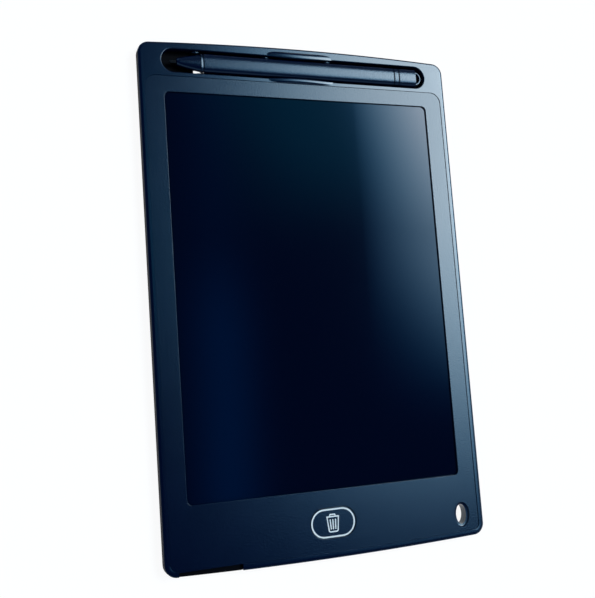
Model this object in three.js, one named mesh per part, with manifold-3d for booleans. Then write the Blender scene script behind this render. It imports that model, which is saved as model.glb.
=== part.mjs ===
// LCD writing tablet with a stylus clipped in a trough along its top edge.
// It lies on its back: +X to the right, +Y up the page towards the stylus, +Z out of the screen.
// The origin is on the table, under the middle of the outline. All sizes are in millimetres.
import * as THREE from 'three';
import { mergeVertices } from 'three/addons/utils/BufferGeometryUtils.js';
import Module from 'manifold-3d';

// Case outline. Its width and length follow from the window, the trough and the battery tray.
const BODY_THICKNESS = 5;
const TOP_CROWN = 2;
const BOTTOM_CROWN = 1.4;
const CORNER_RADIUS = 5;
const REAR_EDGE_ROUND = 0.8;
const RIM_EDGE_ROUND = 0.5;

// Case walls and the joint between the two halves
const REAR_FLOOR = 1;
const SIDE_WALL = 1.4;
const PARTING_HEIGHT = 2.6;
const PARTING_GAP = 0.08;
const TONGUE_THICKNESS = 0.6;
const TONGUE_RISE = 0.7;
const TONGUE_CLEARANCE = 0.12;
const PEG_RADIUS = 0.9;
const PEG_CLEARANCE = 0.15;
const PEG_SOCKET_WALL = 0.7;
const PEG_FROM_EDGE = 4.6;
const PEG_ROWS = 4;
const PEG_END_MARGIN = 7.5;

// Recessed panel and screen window
const PANEL_THICKNESS = 0.7;
const PANEL_RECESS = 0.3;
const PANEL_CORNER = 5;
const RIM_WIDTH = 2.3;
const WINDOW_WIDTH = 124.2;
const WINDOW_LENGTH = 171;
const WINDOW_SIDE_MARGIN = 10.4;
const WINDOW_TOP_MARGIN = 6.9;
const WINDOW_CORNER = 2.2;

// Screen layers, from the front down
const LAYER_GAP = 0.03;
const TAPE_THICKNESS = 0.12;
const TAPE_SETBACK = 0.8;
const FILM_THICKNESS = 0.2;
const CELL_THICKNESS = 0.3;
const BACKING_THICKNESS = 0.3;
const SCREEN_OVERLAP = 3;
const CELL_SETBACK = 0.5;
const SCREEN_CORNER = 1.5;
const SUPPORT_RIB = 1;
const SUPPORT_RIB_COLUMNS = 4;
const SUPPORT_RIB_ROWS = 5;
const SUPPORT_RIB_STEP = 0.2;
const FLEX_WIDTH = 12;
const FLEX_THICKNESS = 0.15;
const FLEX_X = 20;
const FLEX_RUN = 5;
const FLEX_BEND = 1.25;

// Stylus: a flattened oval section, from the nib at the left to the cap's loop at the right
const STYLUS_WIDTH = 8.3;
const STYLUS_THICKNESS = 4.5;
const STYLUS_SQUARENESS = 3.3;
const NIB_LENGTH = 3;
const NIB_RADIUS = 0.75;
const NIB_STEM = 2.2;
const NIB_CLEARANCE = 0.1;
const NOSE_LENGTH = 11.35;
const NOSE_TIP_WIDTH = 3.2;
const NOSE_TIP_THICKNESS = 3;
const NOSE_TIP_ROUND = 0.55;
const NOSE_SWELL_POWER = 0.8;
const NOSE_TAPER_STEPS = 6;
const NOSE_FLANGE = 0.6;
const NOSE_FLANGE_STEP = 0.35;
const BARREL_LENGTH = 90.6;
const GROOVE_WIDTH = 0.55;
const GROOVE_DEPTH = 0.5;
const RING_LENGTH = 1.95;
const CAP_LENGTH = 8.25;
const CAP_LOOP_RADIUS = 3.3;
const CAP_LOOP_WALL = 0.8;
const CAP_LOOP_THICKNESS = 1.5;
const STYLUS_PIECE_GAP = 0.05;

// Stylus trough and its snap lips
const TROUGH_SIDE_CLEARANCE = 1.05;
const TROUGH_NIB_CLEARANCE = 3.55;
const TROUGH_CAP_CLEARANCE = 1.45;
const TROUGH_REST_CLEARANCE = 0.25;
const TROUGH_EDGE_MARGIN = 4;
const TROUGH_PANEL_MARGIN = 1.7;
const TROUGH_WALL = 0.9;
const TROUGH_WALL_GAP = 0.15;
const TROUGH_EDGE_BEVEL = 0.25;
const LIP_LENGTH = 31;
const LIP_BULGE = 0.65;
const LIP_RISE = 0.7;
const LIP_REACH = 1.6;
const LIP_DEPTH = 0.9;
const LIP_RIDGE_SHARE = 0.5;
const LIP_BROW_SHARE = 0.85;
const LIP_BROW_RISE_SHARE = 0.8;
const LIP_SHOULDER_SHARE = 0.35;
const LIP_SHOULDER_RISE_SHARE = 0.92;
const LIP_INNER_RISE_SHARE = 0.5;
const SNAP_RIB_RADIUS = 0.5;
const SNAP_RIB_LENGTH = 2.8;
const SNAP_RIB_DEPTH = 1.9;
const UPPER_RIB_PLACES = [-47.4, -15.6, 13.8];
const LOWER_RIB_PLACES = [-46.3];
const SNAP_WINDOW_LENGTH = 3.8;
const SNAP_WINDOW_WIDTH = 3;

// Erase button, its switch and the board
const BUTTON_LENGTH = 20.5;
const BUTTON_WIDTH = 12.3;
const BUTTON_BOTTOM_MARGIN = 14.55;
const BUTTON_CLEARANCE = 0.3;
const BUTTON_PLATE = 0.9;
const BUTTON_EDGE_ROUND = 0.3;
const BUTTON_FLANGE = 0.9;
const BUTTON_FLANGE_THICKNESS = 0.45;
const BUTTON_WALL = 0.9;
const BUTTON_TRAVEL = 0.4;
const BOSS_RADIUS = 1.2;
const SWITCH_SIDE = 5.2;
const SWITCH_HEIGHT = 0.8;
const SWITCH_HOLE_CLEARANCE = 0.35;
const SWITCH_FLOOR = 0.08;
const PLUNGER_RADIUS = 1.15;
const PLUNGER_GAP = 0.05;
const BOARD_THICKNESS = 0.8;
const BOARD_STANDOFF = 0.35;
const BOARD_CLEARANCE = 0.1;
const BOARD_BELOW_BUTTON = 5.35;
const BOARD_SIDE_MARGIN = 22.5;
const BOARD_STRIP_WIDTH = 8;
const STANDOFF_RADIUS = 1.2;
const CHIP_SIDE = 5;
const CHIP_HEIGHT = 0.9;
const CHIP_FROM_CAPACITORS = 10;
const CAPACITOR_LENGTH = 3.2;
const CAPACITOR_WIDTH = 1.6;
const CAPACITOR_HEIGHT = 1.2;
const CAPACITOR_FROM_BUTTON = 2.85;
const CAPACITOR_SPACING = 6.4;
const PART_GAP = 0.05;

// Battery tray in the bottom edge
const COIN_DIAMETER = 20;
const COIN_THICKNESS = 1.6;
const COIN_CLEARANCE = 0.15;
const COIN_EDGE = 0.3;
const TRAY_SIDE_MARGIN = 5.6;
const TRAY_FRONT_WALL = 3.55;
const TRAY_WALL = 2.7;
const TRAY_FLOOR = 0.4;
const TRAY_CLEARANCE = 0.3;
const TRAY_FLOOR_GAP = 0.15;
const TRAY_SILL = 0.05;
const TRAY_TOP_LIP = 0.1;
const TRAY_END_WALL = 0.6;
const TRAY_THUMB_RADIUS = 5;
const TRAY_THUMB_DEPTH = 0.7;
const TRAY_RAIL = 1.2;
const TRAY_RAIL_HEIGHT = 1.6;
const NOTCH_DEPTH = 3;
const CONTACT_THICKNESS = 0.15;
const CONTACT_WIDTH = 4;
const CONTACT_REACH = 10;
const CONTACT_FOOT = 4;
const CONTACT_SPREAD = 5;
const CONTACT_RISER_GAP = 0.25;

// Screen lock slider in the back
const LOCK_FROM_BOARD_END = 11;
const LOCK_TRAVEL = 3;
const LOCK_KNOB_LENGTH = 7;
const LOCK_KNOB_WIDTH = 4.6;
const LOCK_KNOB_THICKNESS = 0.55;
const LOCK_KNOB_SETBACK = 0.15;
const LOCK_CLEARANCE = 0.35;
const LOCK_PAD_WALL = 1.2;
const LOCK_PAD_THICKNESS = 0.7;
const LOCK_STEM = 2.2;
const LOCK_RIDGES = 3;
const LOCK_RIDGE_WIDTH = 0.5;
const LOCK_RIDGE_SPACING = 1.4;
const LOCK_RIDGE_DEPTH = 0.2;
const LOCK_RIDGE_LENGTH = 3;
const LEVER_SIDE = 0.8;
const LEVER_CLEARANCE = 0.15;
const LEVER_OVERLAP = 0.5;
const LEVER_RISE = 0.45;
const LOCK_SWITCH_LENGTH = 9;
const LOCK_SWITCH_WIDTH = 4;
const LOCK_SWITCH_HEIGHT = 1.2;

// Lanyard hole
const LANYARD_WIDTH = 5;
const LANYARD_LENGTH = 8.7;
const LANYARD_MOUTH_WIDTH = 8;
const LANYARD_MOUTH_LENGTH = 10.9;
const LANYARD_MOUTH_DEPTH = 1;
const LANYARD_COLLAR = 0.9;
const LANYARD_RIGHT_MARGIN = 10.6;
const LANYARD_BOTTOM_MARGIN = 10.9;

// Facets
const CORNER_STEPS = 6;
const EDGE_STEPS = 16;
const ROUND_STEPS = 4;
const SECTION_STEPS = 40;
const NIB_STEPS = 7;
const CIRCLE_STEPS = 24;
const SMALL_CIRCLE_STEPS = 12;
const OVAL_STEPS = 32;
const LIP_STEPS = 16;
const OVERSHOOT = 1;
const SINK = 0.02;
const MERGE_TOLERANCE = 1e-4;

// Heights that follow from the sizes above
const RIM_Z = BODY_THICKNESS;
const PANEL_Z = RIM_Z - PANEL_RECESS;
const CEILING_Z = PANEL_Z - PANEL_THICKNESS;
const TAPE_Z = CEILING_Z - LAYER_GAP - TAPE_THICKNESS;
const FILM_Z = TAPE_Z - LAYER_GAP - FILM_THICKNESS;
const CELL_Z = FILM_Z - LAYER_GAP - CELL_THICKNESS;
const BACKING_Z = CELL_Z - LAYER_GAP - BACKING_THICKNESS;
const BOARD_Z = REAR_FLOOR + BOARD_STANDOFF;
const BOARD_TOP = BOARD_Z + BOARD_THICKNESS;
const TRAY_Z = REAR_FLOOR + TRAY_FLOOR_GAP;
const COIN_Z = TRAY_Z + TRAY_FLOOR + PART_GAP;
const TRAY_TOP = COIN_Z + COIN_THICKNESS + TRAY_TOP_LIP;

// Lengths that follow from the sizes above
const TROUGH_WIDTH = STYLUS_WIDTH + 2 * TROUGH_SIDE_CLEARANCE;
const STYLUS_LENGTH = NIB_LENGTH + NOSE_LENGTH + GROOVE_WIDTH + BARREL_LENGTH + GROOVE_WIDTH
  + RING_LENGTH + GROOVE_WIDTH + CAP_LENGTH + CAP_LOOP_RADIUS;
const TROUGH_LENGTH = STYLUS_LENGTH + TROUGH_NIB_CLEARANCE + TROUGH_CAP_CLEARANCE;
const SCREEN_WIDTH = WINDOW_WIDTH + 2 * SCREEN_OVERLAP;
const SCREEN_LENGTH = WINDOW_LENGTH + 2 * SCREEN_OVERLAP;
const RISER_SPACE = CONTACT_THICKNESS + 2 * CONTACT_RISER_GAP;
const TRAY_LENGTH = TRAY_FRONT_WALL + COIN_DIAMETER + 2 * COIN_CLEARANCE + TRAY_END_WALL;
const TRAY_WIDTH = COIN_DIAMETER + 2 * COIN_CLEARANCE + 2 * TRAY_WALL;
const TRAY_BAY_WIDTH = TRAY_WIDTH + 2 * TRAY_CLEARANCE;
const PANEL_TOP_MARGIN = TROUGH_EDGE_MARGIN + TROUGH_WIDTH + TROUGH_PANEL_MARGIN;
const CHIN_LENGTH = TRAY_LENGTH + RISER_SPACE + BOARD_CLEARANCE + SCREEN_OVERLAP;
const BODY_WIDTH = WINDOW_WIDTH + 2 * WINDOW_SIDE_MARGIN;
const BODY_LENGTH = PANEL_TOP_MARGIN + WINDOW_TOP_MARGIN + WINDOW_LENGTH + CHIN_LENGTH;

// Places in the plan that follow from the sizes above
const TOP_Y = BODY_LENGTH / 2;
const BOTTOM_Y = -BODY_LENGTH / 2;
const PANEL_TOP_Y = TOP_Y - PANEL_TOP_MARGIN;
const WINDOW_Y = PANEL_TOP_Y - WINDOW_TOP_MARGIN - WINDOW_LENGTH / 2;
const SCREEN_BOTTOM_Y = WINDOW_Y - SCREEN_LENGTH / 2;
const BUTTON_Y = BOTTOM_Y + BUTTON_BOTTOM_MARGIN;
const LANYARD_X = BODY_WIDTH / 2 - LANYARD_RIGHT_MARGIN;
const LANYARD_Y = BOTTOM_Y + LANYARD_BOTTOM_MARGIN;
const TROUGH_Y = TOP_Y - TROUGH_EDGE_MARGIN - TROUGH_WIDTH / 2;
const STYLUS_START_X = -TROUGH_LENGTH / 2 + TROUGH_NIB_CLEARANCE;
const STYLUS_Z = REAR_FLOOR + TROUGH_REST_CLEARANCE + STYLUS_THICKNESS / 2;
const COIN_Y = BOTTOM_Y + TRAY_FRONT_WALL + COIN_CLEARANCE + COIN_DIAMETER / 2;
const TRAY_INNER_Y = BOTTOM_Y + TRAY_LENGTH;
const TRAY_CENTRE_X = -BODY_WIDTH / 2 + TRAY_SIDE_MARGIN + TRAY_BAY_WIDTH / 2;
const RISER_Y = TRAY_INNER_Y + CONTACT_RISER_GAP;
const BOARD_TOP_Y = SCREEN_BOTTOM_Y + BOARD_STRIP_WIDTH;
const BOARD_STRIP_Y = TRAY_INNER_Y + RISER_SPACE;
const BOARD_BOTTOM_Y = BUTTON_Y - BOARD_BELOW_BUTTON;
const BOARD_LEFT = TRAY_CENTRE_X - TRAY_BAY_WIDTH / 2;
const BOARD_RIGHT = BODY_WIDTH / 2 - BOARD_SIDE_MARGIN;
const BOARD_STEP_X = TRAY_CENTRE_X + TRAY_BAY_WIDTH / 2 + TRAY_RAIL + LOCK_CLEARANCE;
const CAPACITOR_X = -BUTTON_LENGTH / 2 - BUTTON_FLANGE - CAPACITOR_FROM_BUTTON;
const CHIP_X = CAPACITOR_X - CHIP_FROM_CAPACITORS;
const LOCK_X = BOARD_RIGHT - LOCK_FROM_BOARD_END;
const LOCK_MIDDLE_X = LOCK_X + LOCK_TRAVEL / 2;

// Ends of the stylus pieces, measured from the nib's end
const NOSE_END = NIB_LENGTH + NOSE_LENGTH;
const BARREL_START = NOSE_END + GROOVE_WIDTH;
const BARREL_END = BARREL_START + BARREL_LENGTH;
const RING_START = BARREL_END + GROOVE_WIDTH;
const RING_END = RING_START + RING_LENGTH;
const CAP_START = RING_END + GROOVE_WIDTH;
const CAP_END = CAP_START + CAP_LENGTH;

// Button, switch and lock heights, and the lock's recess and slot
const FLANGE_TOP = CEILING_Z - BUTTON_CLEARANCE;
const FLANGE_Z = FLANGE_TOP - BUTTON_FLANGE_THICKNESS;
const SWITCH_Z = BOARD_TOP + PART_GAP;
const SWITCH_TOP = SWITCH_Z + SWITCH_HEIGHT;
const PLUNGER_Z = SWITCH_Z + SWITCH_FLOOR + PLUNGER_GAP + BUTTON_TRAVEL;
const KNOB_TOP = LOCK_KNOB_SETBACK + LOCK_KNOB_THICKNESS;
const LOCK_RECESS_DEPTH = KNOB_TOP + PARTING_GAP;
const LOCK_PAD_TOP = LOCK_RECESS_DEPTH + LOCK_PAD_THICKNESS;
const LOCK_RECESS_LENGTH = LOCK_KNOB_LENGTH + LOCK_TRAVEL + 2 * LOCK_CLEARANCE;
const LOCK_RECESS_WIDTH = LOCK_KNOB_WIDTH + 2 * LOCK_CLEARANCE;
const LOCK_SLOT_LENGTH = LOCK_STEM + LOCK_TRAVEL + 2 * LOCK_CLEARANCE;
const LOCK_SLOT_WIDTH = LOCK_STEM + 2 * LOCK_CLEARANCE;
const LOCK_SWITCH_Z = BOARD_TOP + PART_GAP;
const LEVER_TOP = LOCK_SWITCH_Z + LEVER_RISE;
const STEM_TOP = LOCK_SWITCH_Z - LOCK_CLEARANCE / 2;

// Colours
const CASE_COLOUR = 0x1d2a36;
const SCREEN_COLOUR = 0x0a0f1e;
const PRINT_BLACK = 0x101216;
const BOARD_GREEN = 0x1f5a3c;
const METAL_COLOUR = 0xb9bcc0;
const BRASS_COLOUR = 0xc9a75a;
const CERAMIC_COLOUR = 0x8a7256;
const CASE_PLASTIC = { color: CASE_COLOUR, roughness: 0.55, metalness: 0 };
const STYLUS_PLASTIC = { color: CASE_COLOUR, roughness: 0.4, metalness: 0 };
const SCREEN_PLASTIC = { color: SCREEN_COLOUR, roughness: 0.12, metalness: 0 };
const BLACK_PLASTIC = { color: PRINT_BLACK, roughness: 0.5, metalness: 0 };
const BOARD_MATERIAL = { color: BOARD_GREEN, roughness: 0.5, metalness: 0 };
const STEEL = { color: METAL_COLOUR, roughness: 0.3, metalness: 1 };
const BRASS = { color: BRASS_COLOUR, roughness: 0.3, metalness: 1 };
const CERAMIC = { color: CERAMIC_COLOUR, roughness: 0.6, metalness: 0 };

const wasm = await Module();
wasm.setup();
const group = new THREE.Group();

// A closed three.js geometry as a solid that can be joined and cut
function solid(geometry) {
  const bare = geometry.clone();
  bare.deleteAttribute('normal');
  bare.deleteAttribute('uv');
  const merged = mergeVertices(bare, MERGE_TOLERANCE);
  const vertProperties = new Float32Array(merged.attributes.position.array);
  const triVerts = new Uint32Array(merged.index.array);
  return new wasm.Manifold(new wasm.Mesh({ numProp: 3, vertProperties, triVerts }));
}

// A solid back as a three.js geometry
function geometryOf(body) {
  const mesh = body.getMesh();
  const geometry = new THREE.BufferGeometry();
  geometry.setAttribute('position', new THREE.BufferAttribute(new Float32Array(mesh.vertProperties), 3));
  geometry.setIndex(new THREE.BufferAttribute(new Uint32Array(mesh.triVerts), 1));
  geometry.computeVertexNormals();
  return geometry;
}

function joined(first, ...others) {
  return others.reduce((sum, other) => sum.add(other), first);
}

function cutBy(first, ...others) {
  return others.reduce((rest, other) => rest.subtract(other), first);
}

// Puts one named piece into the tablet
function place(name, body, look) {
  const mesh = new THREE.Mesh(geometryOf(body), new THREE.MeshStandardMaterial(look));
  mesh.name = name;
  group.add(mesh);
}

// A flat shape raised from one height to another
function prism(shape, low, high) {
  const geometry = new THREE.ExtrudeGeometry(shape, { depth: high - low, bevelEnabled: false });
  geometry.translate(0, 0, low);
  return solid(geometry);
}

function block(left, right, front, back, low, high) {
  const geometry = new THREE.BoxGeometry(right - left, back - front, high - low);
  geometry.translate((left + right) / 2, (front + back) / 2, (low + high) / 2);
  return solid(geometry);
}

// An upright round post
function post(x, y, radius, low, high, steps) {
  const geometry = new THREE.CylinderGeometry(radius, radius, high - low, steps);
  geometry.rotateX(Math.PI / 2);
  geometry.translate(x, y, (low + high) / 2);
  return solid(geometry);
}

// A skin through rings of equal point counts, counter-clockwise seen from +Z, closed at both ends
function loftGeometry(rings) {
  const count = rings[0].points.length;
  const positions = rings.flatMap(({ points, z }) => points.flatMap((point) => [point.x, point.y, z]));
  const index = [];
  for (let level = 0; level + 1 < rings.length; level += 1) {
    for (let step = 0; step < count; step += 1) {
      const next = (step + 1) % count;
      const low = level * count;
      const high = low + count;
      index.push(low + step, low + next, high + next, low + step, high + next, high + step);
    }
  }
  const lastRing = (rings.length - 1) * count;
  for (const [a, b, c] of THREE.ShapeUtils.triangulateShape(rings[0].points, [])) {
    index.push(a, c, b);
  }
  for (const [a, b, c] of THREE.ShapeUtils.triangulateShape(rings.at(-1).points, [])) {
    index.push(lastRing + a, lastRing + b, lastRing + c);
  }
  const geometry = new THREE.BufferGeometry();
  geometry.setAttribute('position', new THREE.Float32BufferAttribute(positions, 3));
  geometry.setIndex(index);
  return geometry;
}

function loft(rings) {
  return solid(loftGeometry(rings));
}

// A quarter turn of points round a corner centre
function cornerPoints(x, y, radius, startAngle, steps) {
  return Array.from({ length: steps + 1 }, (_, step) => {
    const angle = startAngle + (Math.PI / 2) * (step / steps);
    return new THREE.Vector2(x + radius * Math.cos(angle), y + radius * Math.sin(angle));
  });
}

// Points between the ends of an edge that runs from one x to another
function edgePoints(fromX, toX, heightAt) {
  return Array.from({ length: EDGE_STEPS - 1 }, (_, step) => {
    const x = THREE.MathUtils.lerp(fromX, toX, (step + 1) / EDGE_STEPS);
    return new THREE.Vector2(x, heightAt(x));
  });
}

// A round-cornered outline whose top and bottom edges are curves of x
function curvedOutline(halfWidth, topRadius, bottomRadius, topAt, bottomAt) {
  const topX = halfWidth - topRadius;
  const bottomX = halfWidth - bottomRadius;
  const top = topAt(topX) - topRadius;
  const bottom = bottomAt(bottomX) + bottomRadius;
  return [
    ...cornerPoints(bottomX, bottom, bottomRadius, -Math.PI / 2, CORNER_STEPS),
    ...cornerPoints(topX, top, topRadius, 0, CORNER_STEPS),
    ...edgePoints(topX, -topX, topAt),
    ...cornerPoints(-topX, top, topRadius, Math.PI / 2, CORNER_STEPS),
    ...cornerPoints(-bottomX, bottom, bottomRadius, Math.PI, CORNER_STEPS),
    ...edgePoints(-bottomX, bottomX, bottomAt),
  ];
}

function crownAt(x, crown) {
  return crown * (1 - (x / (BODY_WIDTH / 2)) ** 2);
}

function topEdgeAt(x, inset) {
  return TOP_Y - TOP_CROWN + crownAt(x, TOP_CROWN) - inset;
}

function bottomEdgeAt(x, inset) {
  return BOTTOM_Y + BOTTOM_CROWN - crownAt(x, BOTTOM_CROWN) + inset;
}

// The case outline, drawn in by an inset
function caseOutline(inset) {
  const radius = CORNER_RADIUS - inset;
  const topAt = (x) => topEdgeAt(x, inset);
  const bottomAt = (x) => bottomEdgeAt(x, inset);
  return curvedOutline(BODY_WIDTH / 2 - inset, radius, radius, topAt, bottomAt);
}

function casePrism(inset, low, high) {
  return prism(new THREE.Shape(caseOutline(inset)), low, high);
}

// A rectangle with round corners
function roundedRectangle(x, y, width, length, radius) {
  const right = width / 2 - radius;
  const top = length / 2 - radius;
  return new THREE.Shape([
    ...cornerPoints(x + right, y - top, radius, -Math.PI / 2, CORNER_STEPS),
    ...cornerPoints(x + right, y + top, radius, 0, CORNER_STEPS),
    ...cornerPoints(x - right, y + top, radius, Math.PI / 2, CORNER_STEPS),
    ...cornerPoints(x - right, y - top, radius, Math.PI, CORNER_STEPS),
  ]);
}

// An outline with two straight sides and full-round ends along its longer way
function obroundPoints(x, y, width, length) {
  const radius = Math.min(width, length) / 2;
  const right = width / 2 - radius;
  const top = length / 2 - radius;
  return [
    ...cornerPoints(x + right, y - top, radius, -Math.PI / 2, CORNER_STEPS),
    ...cornerPoints(x + right, y + top, radius, 0, CORNER_STEPS),
    ...cornerPoints(x - right, y + top, radius, Math.PI / 2, CORNER_STEPS),
    ...cornerPoints(x - right, y - top, radius, Math.PI, CORNER_STEPS),
  ].filter((point, index, all) => index === 0 || point.distanceTo(all[index - 1]) > MERGE_TOLERANCE);
}

function obroundPrism(x, y, width, length, low, high) {
  return prism(new THREE.Shape(obroundPoints(x, y, width, length)), low, high);
}

// The lanyard hole's oval outline at a given size
function lanyardPoints(width, length) {
  return Array.from({ length: OVAL_STEPS }, (_, step) => {
    const angle = 2 * Math.PI * (step / OVAL_STEPS);
    const x = LANYARD_X + (width / 2) * Math.cos(angle);
    return new THREE.Vector2(x, LANYARD_Y + (length / 2) * Math.sin(angle));
  });
}

function lanyardPrism(width, length, low, high) {
  return prism(new THREE.Shape(lanyardPoints(width, length)), low, high);
}

// A cutter that flares from the lanyard hole to its wider mouth in the panel
function lanyardMouth() {
  return loft([
    { points: lanyardPoints(LANYARD_WIDTH, LANYARD_LENGTH), z: PANEL_Z - LANYARD_MOUTH_DEPTH },
    { points: lanyardPoints(LANYARD_MOUTH_WIDTH, LANYARD_MOUTH_LENGTH), z: PANEL_Z },
  ]);
}

// The trough's opening, grown by a margin all round
function troughPrism(margin, low, high) {
  return obroundPrism(0, TROUGH_Y, TROUGH_LENGTH + 2 * margin, TROUGH_WIDTH + 2 * margin, low, high);
}

// Outer form of a case half, with its far edge rounded off
function roundedShell(edgeZ, plainZ, round) {
  const towards = Math.sign(plainZ - edgeZ);
  const rings = Array.from({ length: ROUND_STEPS + 1 }, (_, step) => {
    const angle = (Math.PI / 2) * (step / ROUND_STEPS);
    const inset = round * (1 - Math.sin(angle));
    const z = edgeZ + towards * round * (1 - Math.cos(angle));
    return { points: caseOutline(inset), z };
  });
  rings.push({ points: caseOutline(0), z: plainZ });
  return loft(towards > 0 ? rings : rings.reverse());
}

function pegPlaces() {
  const x = BODY_WIDTH / 2 - PEG_FROM_EDGE;
  const reach = WINDOW_LENGTH / 2 - PEG_END_MARGIN;
  return Array.from({ length: PEG_ROWS }, (_, row) => {
    const y = THREE.MathUtils.lerp(WINDOW_Y - reach, WINDOW_Y + reach, row / (PEG_ROWS - 1));
    return [[-x, y], [x, y]];
  }).flat();
}

// One snap lip: a low crescent hump that leans towards the stylus. side is 1 above it and -1 below it.
function snapLip(side) {
  const rings = Array.from({ length: LIP_STEPS + 1 }, (_, step) => {
    const along = 2 * (step / LIP_STEPS) - 1;
    const swell = 1 - along * along;
    const inner = TROUGH_WIDTH / 2 - LIP_BULGE * swell;
    const outer = TROUGH_WIDTH / 2 + LIP_REACH;
    const brow = THREE.MathUtils.lerp(inner, outer, LIP_BROW_SHARE);
    const ridge = THREE.MathUtils.lerp(inner, outer, LIP_RIDGE_SHARE);
    const shoulder = THREE.MathUtils.lerp(inner, ridge, LIP_SHOULDER_SHARE);
    const top = LIP_RISE * swell - SINK;
    const section = [
      [inner, -LIP_DEPTH],
      [outer, -LIP_DEPTH],
      [outer, -SINK],
      [brow, LIP_BROW_RISE_SHARE * top],
      [ridge, top],
      [shoulder, LIP_SHOULDER_RISE_SHARE * top],
      [inner, LIP_INNER_RISE_SHARE * top],
    ].map(([reach, rise]) => new THREE.Vector2(side * reach, rise));
    return { points: side > 0 ? section : section.reverse(), z: along * LIP_LENGTH / 2 };
  });
  const geometry = loftGeometry(rings);
  geometry.rotateZ(Math.PI / 2);
  geometry.rotateY(Math.PI / 2);
  geometry.translate(0, TROUGH_Y, RIM_Z);
  return solid(geometry);
}

// The small ribs inside the trough's long walls that click past the stylus
function snapRibs() {
  return [[1, UPPER_RIB_PLACES], [-1, LOWER_RIB_PLACES]].flatMap(([side, places]) => places.map((x) => {
    const geometry = new THREE.CylinderGeometry(
      SNAP_RIB_RADIUS, SNAP_RIB_RADIUS, SNAP_RIB_LENGTH, SMALL_CIRCLE_STEPS,
    );
    geometry.rotateZ(Math.PI / 2);
    geometry.translate(x, TROUGH_Y + side * TROUGH_WIDTH / 2, RIM_Z - SNAP_RIB_DEPTH);
    return solid(geometry);
  }));
}

function panelOutline() {
  const halfWidth = BODY_WIDTH / 2 - RIM_WIDTH;
  const bottomAt = (x) => bottomEdgeAt(x, RIM_WIDTH);
  return curvedOutline(halfWidth, PANEL_CORNER, CORNER_RADIUS - RIM_WIDTH, () => PANEL_TOP_Y, bottomAt);
}

// Front moulding: rim, recessed panel, screen window, stylus trough with its lips, button and lanyard holes
function frontFrame() {
  const lowZ = PARTING_HEIGHT + PARTING_GAP;
  const shell = roundedShell(RIM_Z, lowZ, RIM_EDGE_ROUND);
  const cavity = casePrism(SIDE_WALL, lowZ - OVERSHOOT, CEILING_Z);
  const troughWall = troughPrism(TROUGH_WALL, REAR_FLOOR + TROUGH_WALL_GAP, RIM_Z - PANEL_RECESS);
  const collar = lanyardPrism(
    LANYARD_MOUTH_WIDTH + 2 * LANYARD_COLLAR, LANYARD_MOUTH_LENGTH + 2 * LANYARD_COLLAR,
    PARTING_HEIGHT, PANEL_Z,
  );
  const pegs = pegPlaces().map(([x, y]) => (
    post(x, y, PEG_RADIUS, REAR_FLOOR + PARTING_GAP, CEILING_Z + SINK, SMALL_CIRCLE_STEPS)
  ));
  const recess = prism(new THREE.Shape(panelOutline()), PANEL_Z, RIM_Z + OVERSHOOT);
  const window = prism(
    roundedRectangle(0, WINDOW_Y, WINDOW_WIDTH, WINDOW_LENGTH, WINDOW_CORNER), 0, RIM_Z + OVERSHOOT,
  );
  const trough = troughPrism(0, 0, RIM_Z + OVERSHOOT);
  const bevelSpread = 2 * 2 * TROUGH_EDGE_BEVEL;
  const troughBevel = loft([
    { points: obroundPoints(0, TROUGH_Y, TROUGH_LENGTH, TROUGH_WIDTH), z: RIM_Z - TROUGH_EDGE_BEVEL },
    {
      points: obroundPoints(0, TROUGH_Y, TROUGH_LENGTH + bevelSpread, TROUGH_WIDTH + bevelSpread),
      z: RIM_Z + TROUGH_EDGE_BEVEL,
    },
  ]);
  const buttonHole = obroundPrism(
    0, BUTTON_Y, BUTTON_LENGTH + 2 * BUTTON_CLEARANCE, BUTTON_WIDTH + 2 * BUTTON_CLEARANCE, 0, RIM_Z,
  );
  const lanyardHole = lanyardPrism(LANYARD_WIDTH, LANYARD_LENGTH, 0, RIM_Z);
  const notch = block(
    TRAY_CENTRE_X - TRAY_BAY_WIDTH / 2, TRAY_CENTRE_X + TRAY_BAY_WIDTH / 2,
    BOTTOM_Y - OVERSHOOT, BOTTOM_Y + NOTCH_DEPTH, 0, RIM_Z + OVERSHOOT,
  );
  const plate = joined(cutBy(shell, cavity), troughWall, collar, ...pegs);
  const opened = cutBy(
    plate, recess, window, trough, troughBevel, buttonHole, lanyardHole, lanyardMouth(), notch,
  );
  return joined(opened, snapLip(1), snapLip(-1), ...snapRibs());
}

// The crossed ribs on the floor that carry the screen
function supportRibs() {
  const low = REAR_FLOOR - SINK;
  const high = BACKING_Z - LAYER_GAP;
  const left = -WINDOW_WIDTH / 2;
  const bottom = BOARD_TOP_Y + SUPPORT_RIB;
  const top = WINDOW_Y + WINDOW_LENGTH / 2;
  const ribs = [];
  for (let column = 0; column < SUPPORT_RIB_COLUMNS; column += 1) {
    const x = THREE.MathUtils.lerp(left, -left, column / (SUPPORT_RIB_COLUMNS - 1));
    ribs.push(block(x - SUPPORT_RIB / 2, x + SUPPORT_RIB / 2, bottom, top, low, high));
  }
  for (let row = 0; row < SUPPORT_RIB_ROWS; row += 1) {
    const y = THREE.MathUtils.lerp(bottom, top, row / (SUPPORT_RIB_ROWS - 1));
    ribs.push(block(left, -left, y - SUPPORT_RIB / 2, y + SUPPORT_RIB / 2, low, high - SUPPORT_RIB_STEP));
  }
  return ribs;
}

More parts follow.
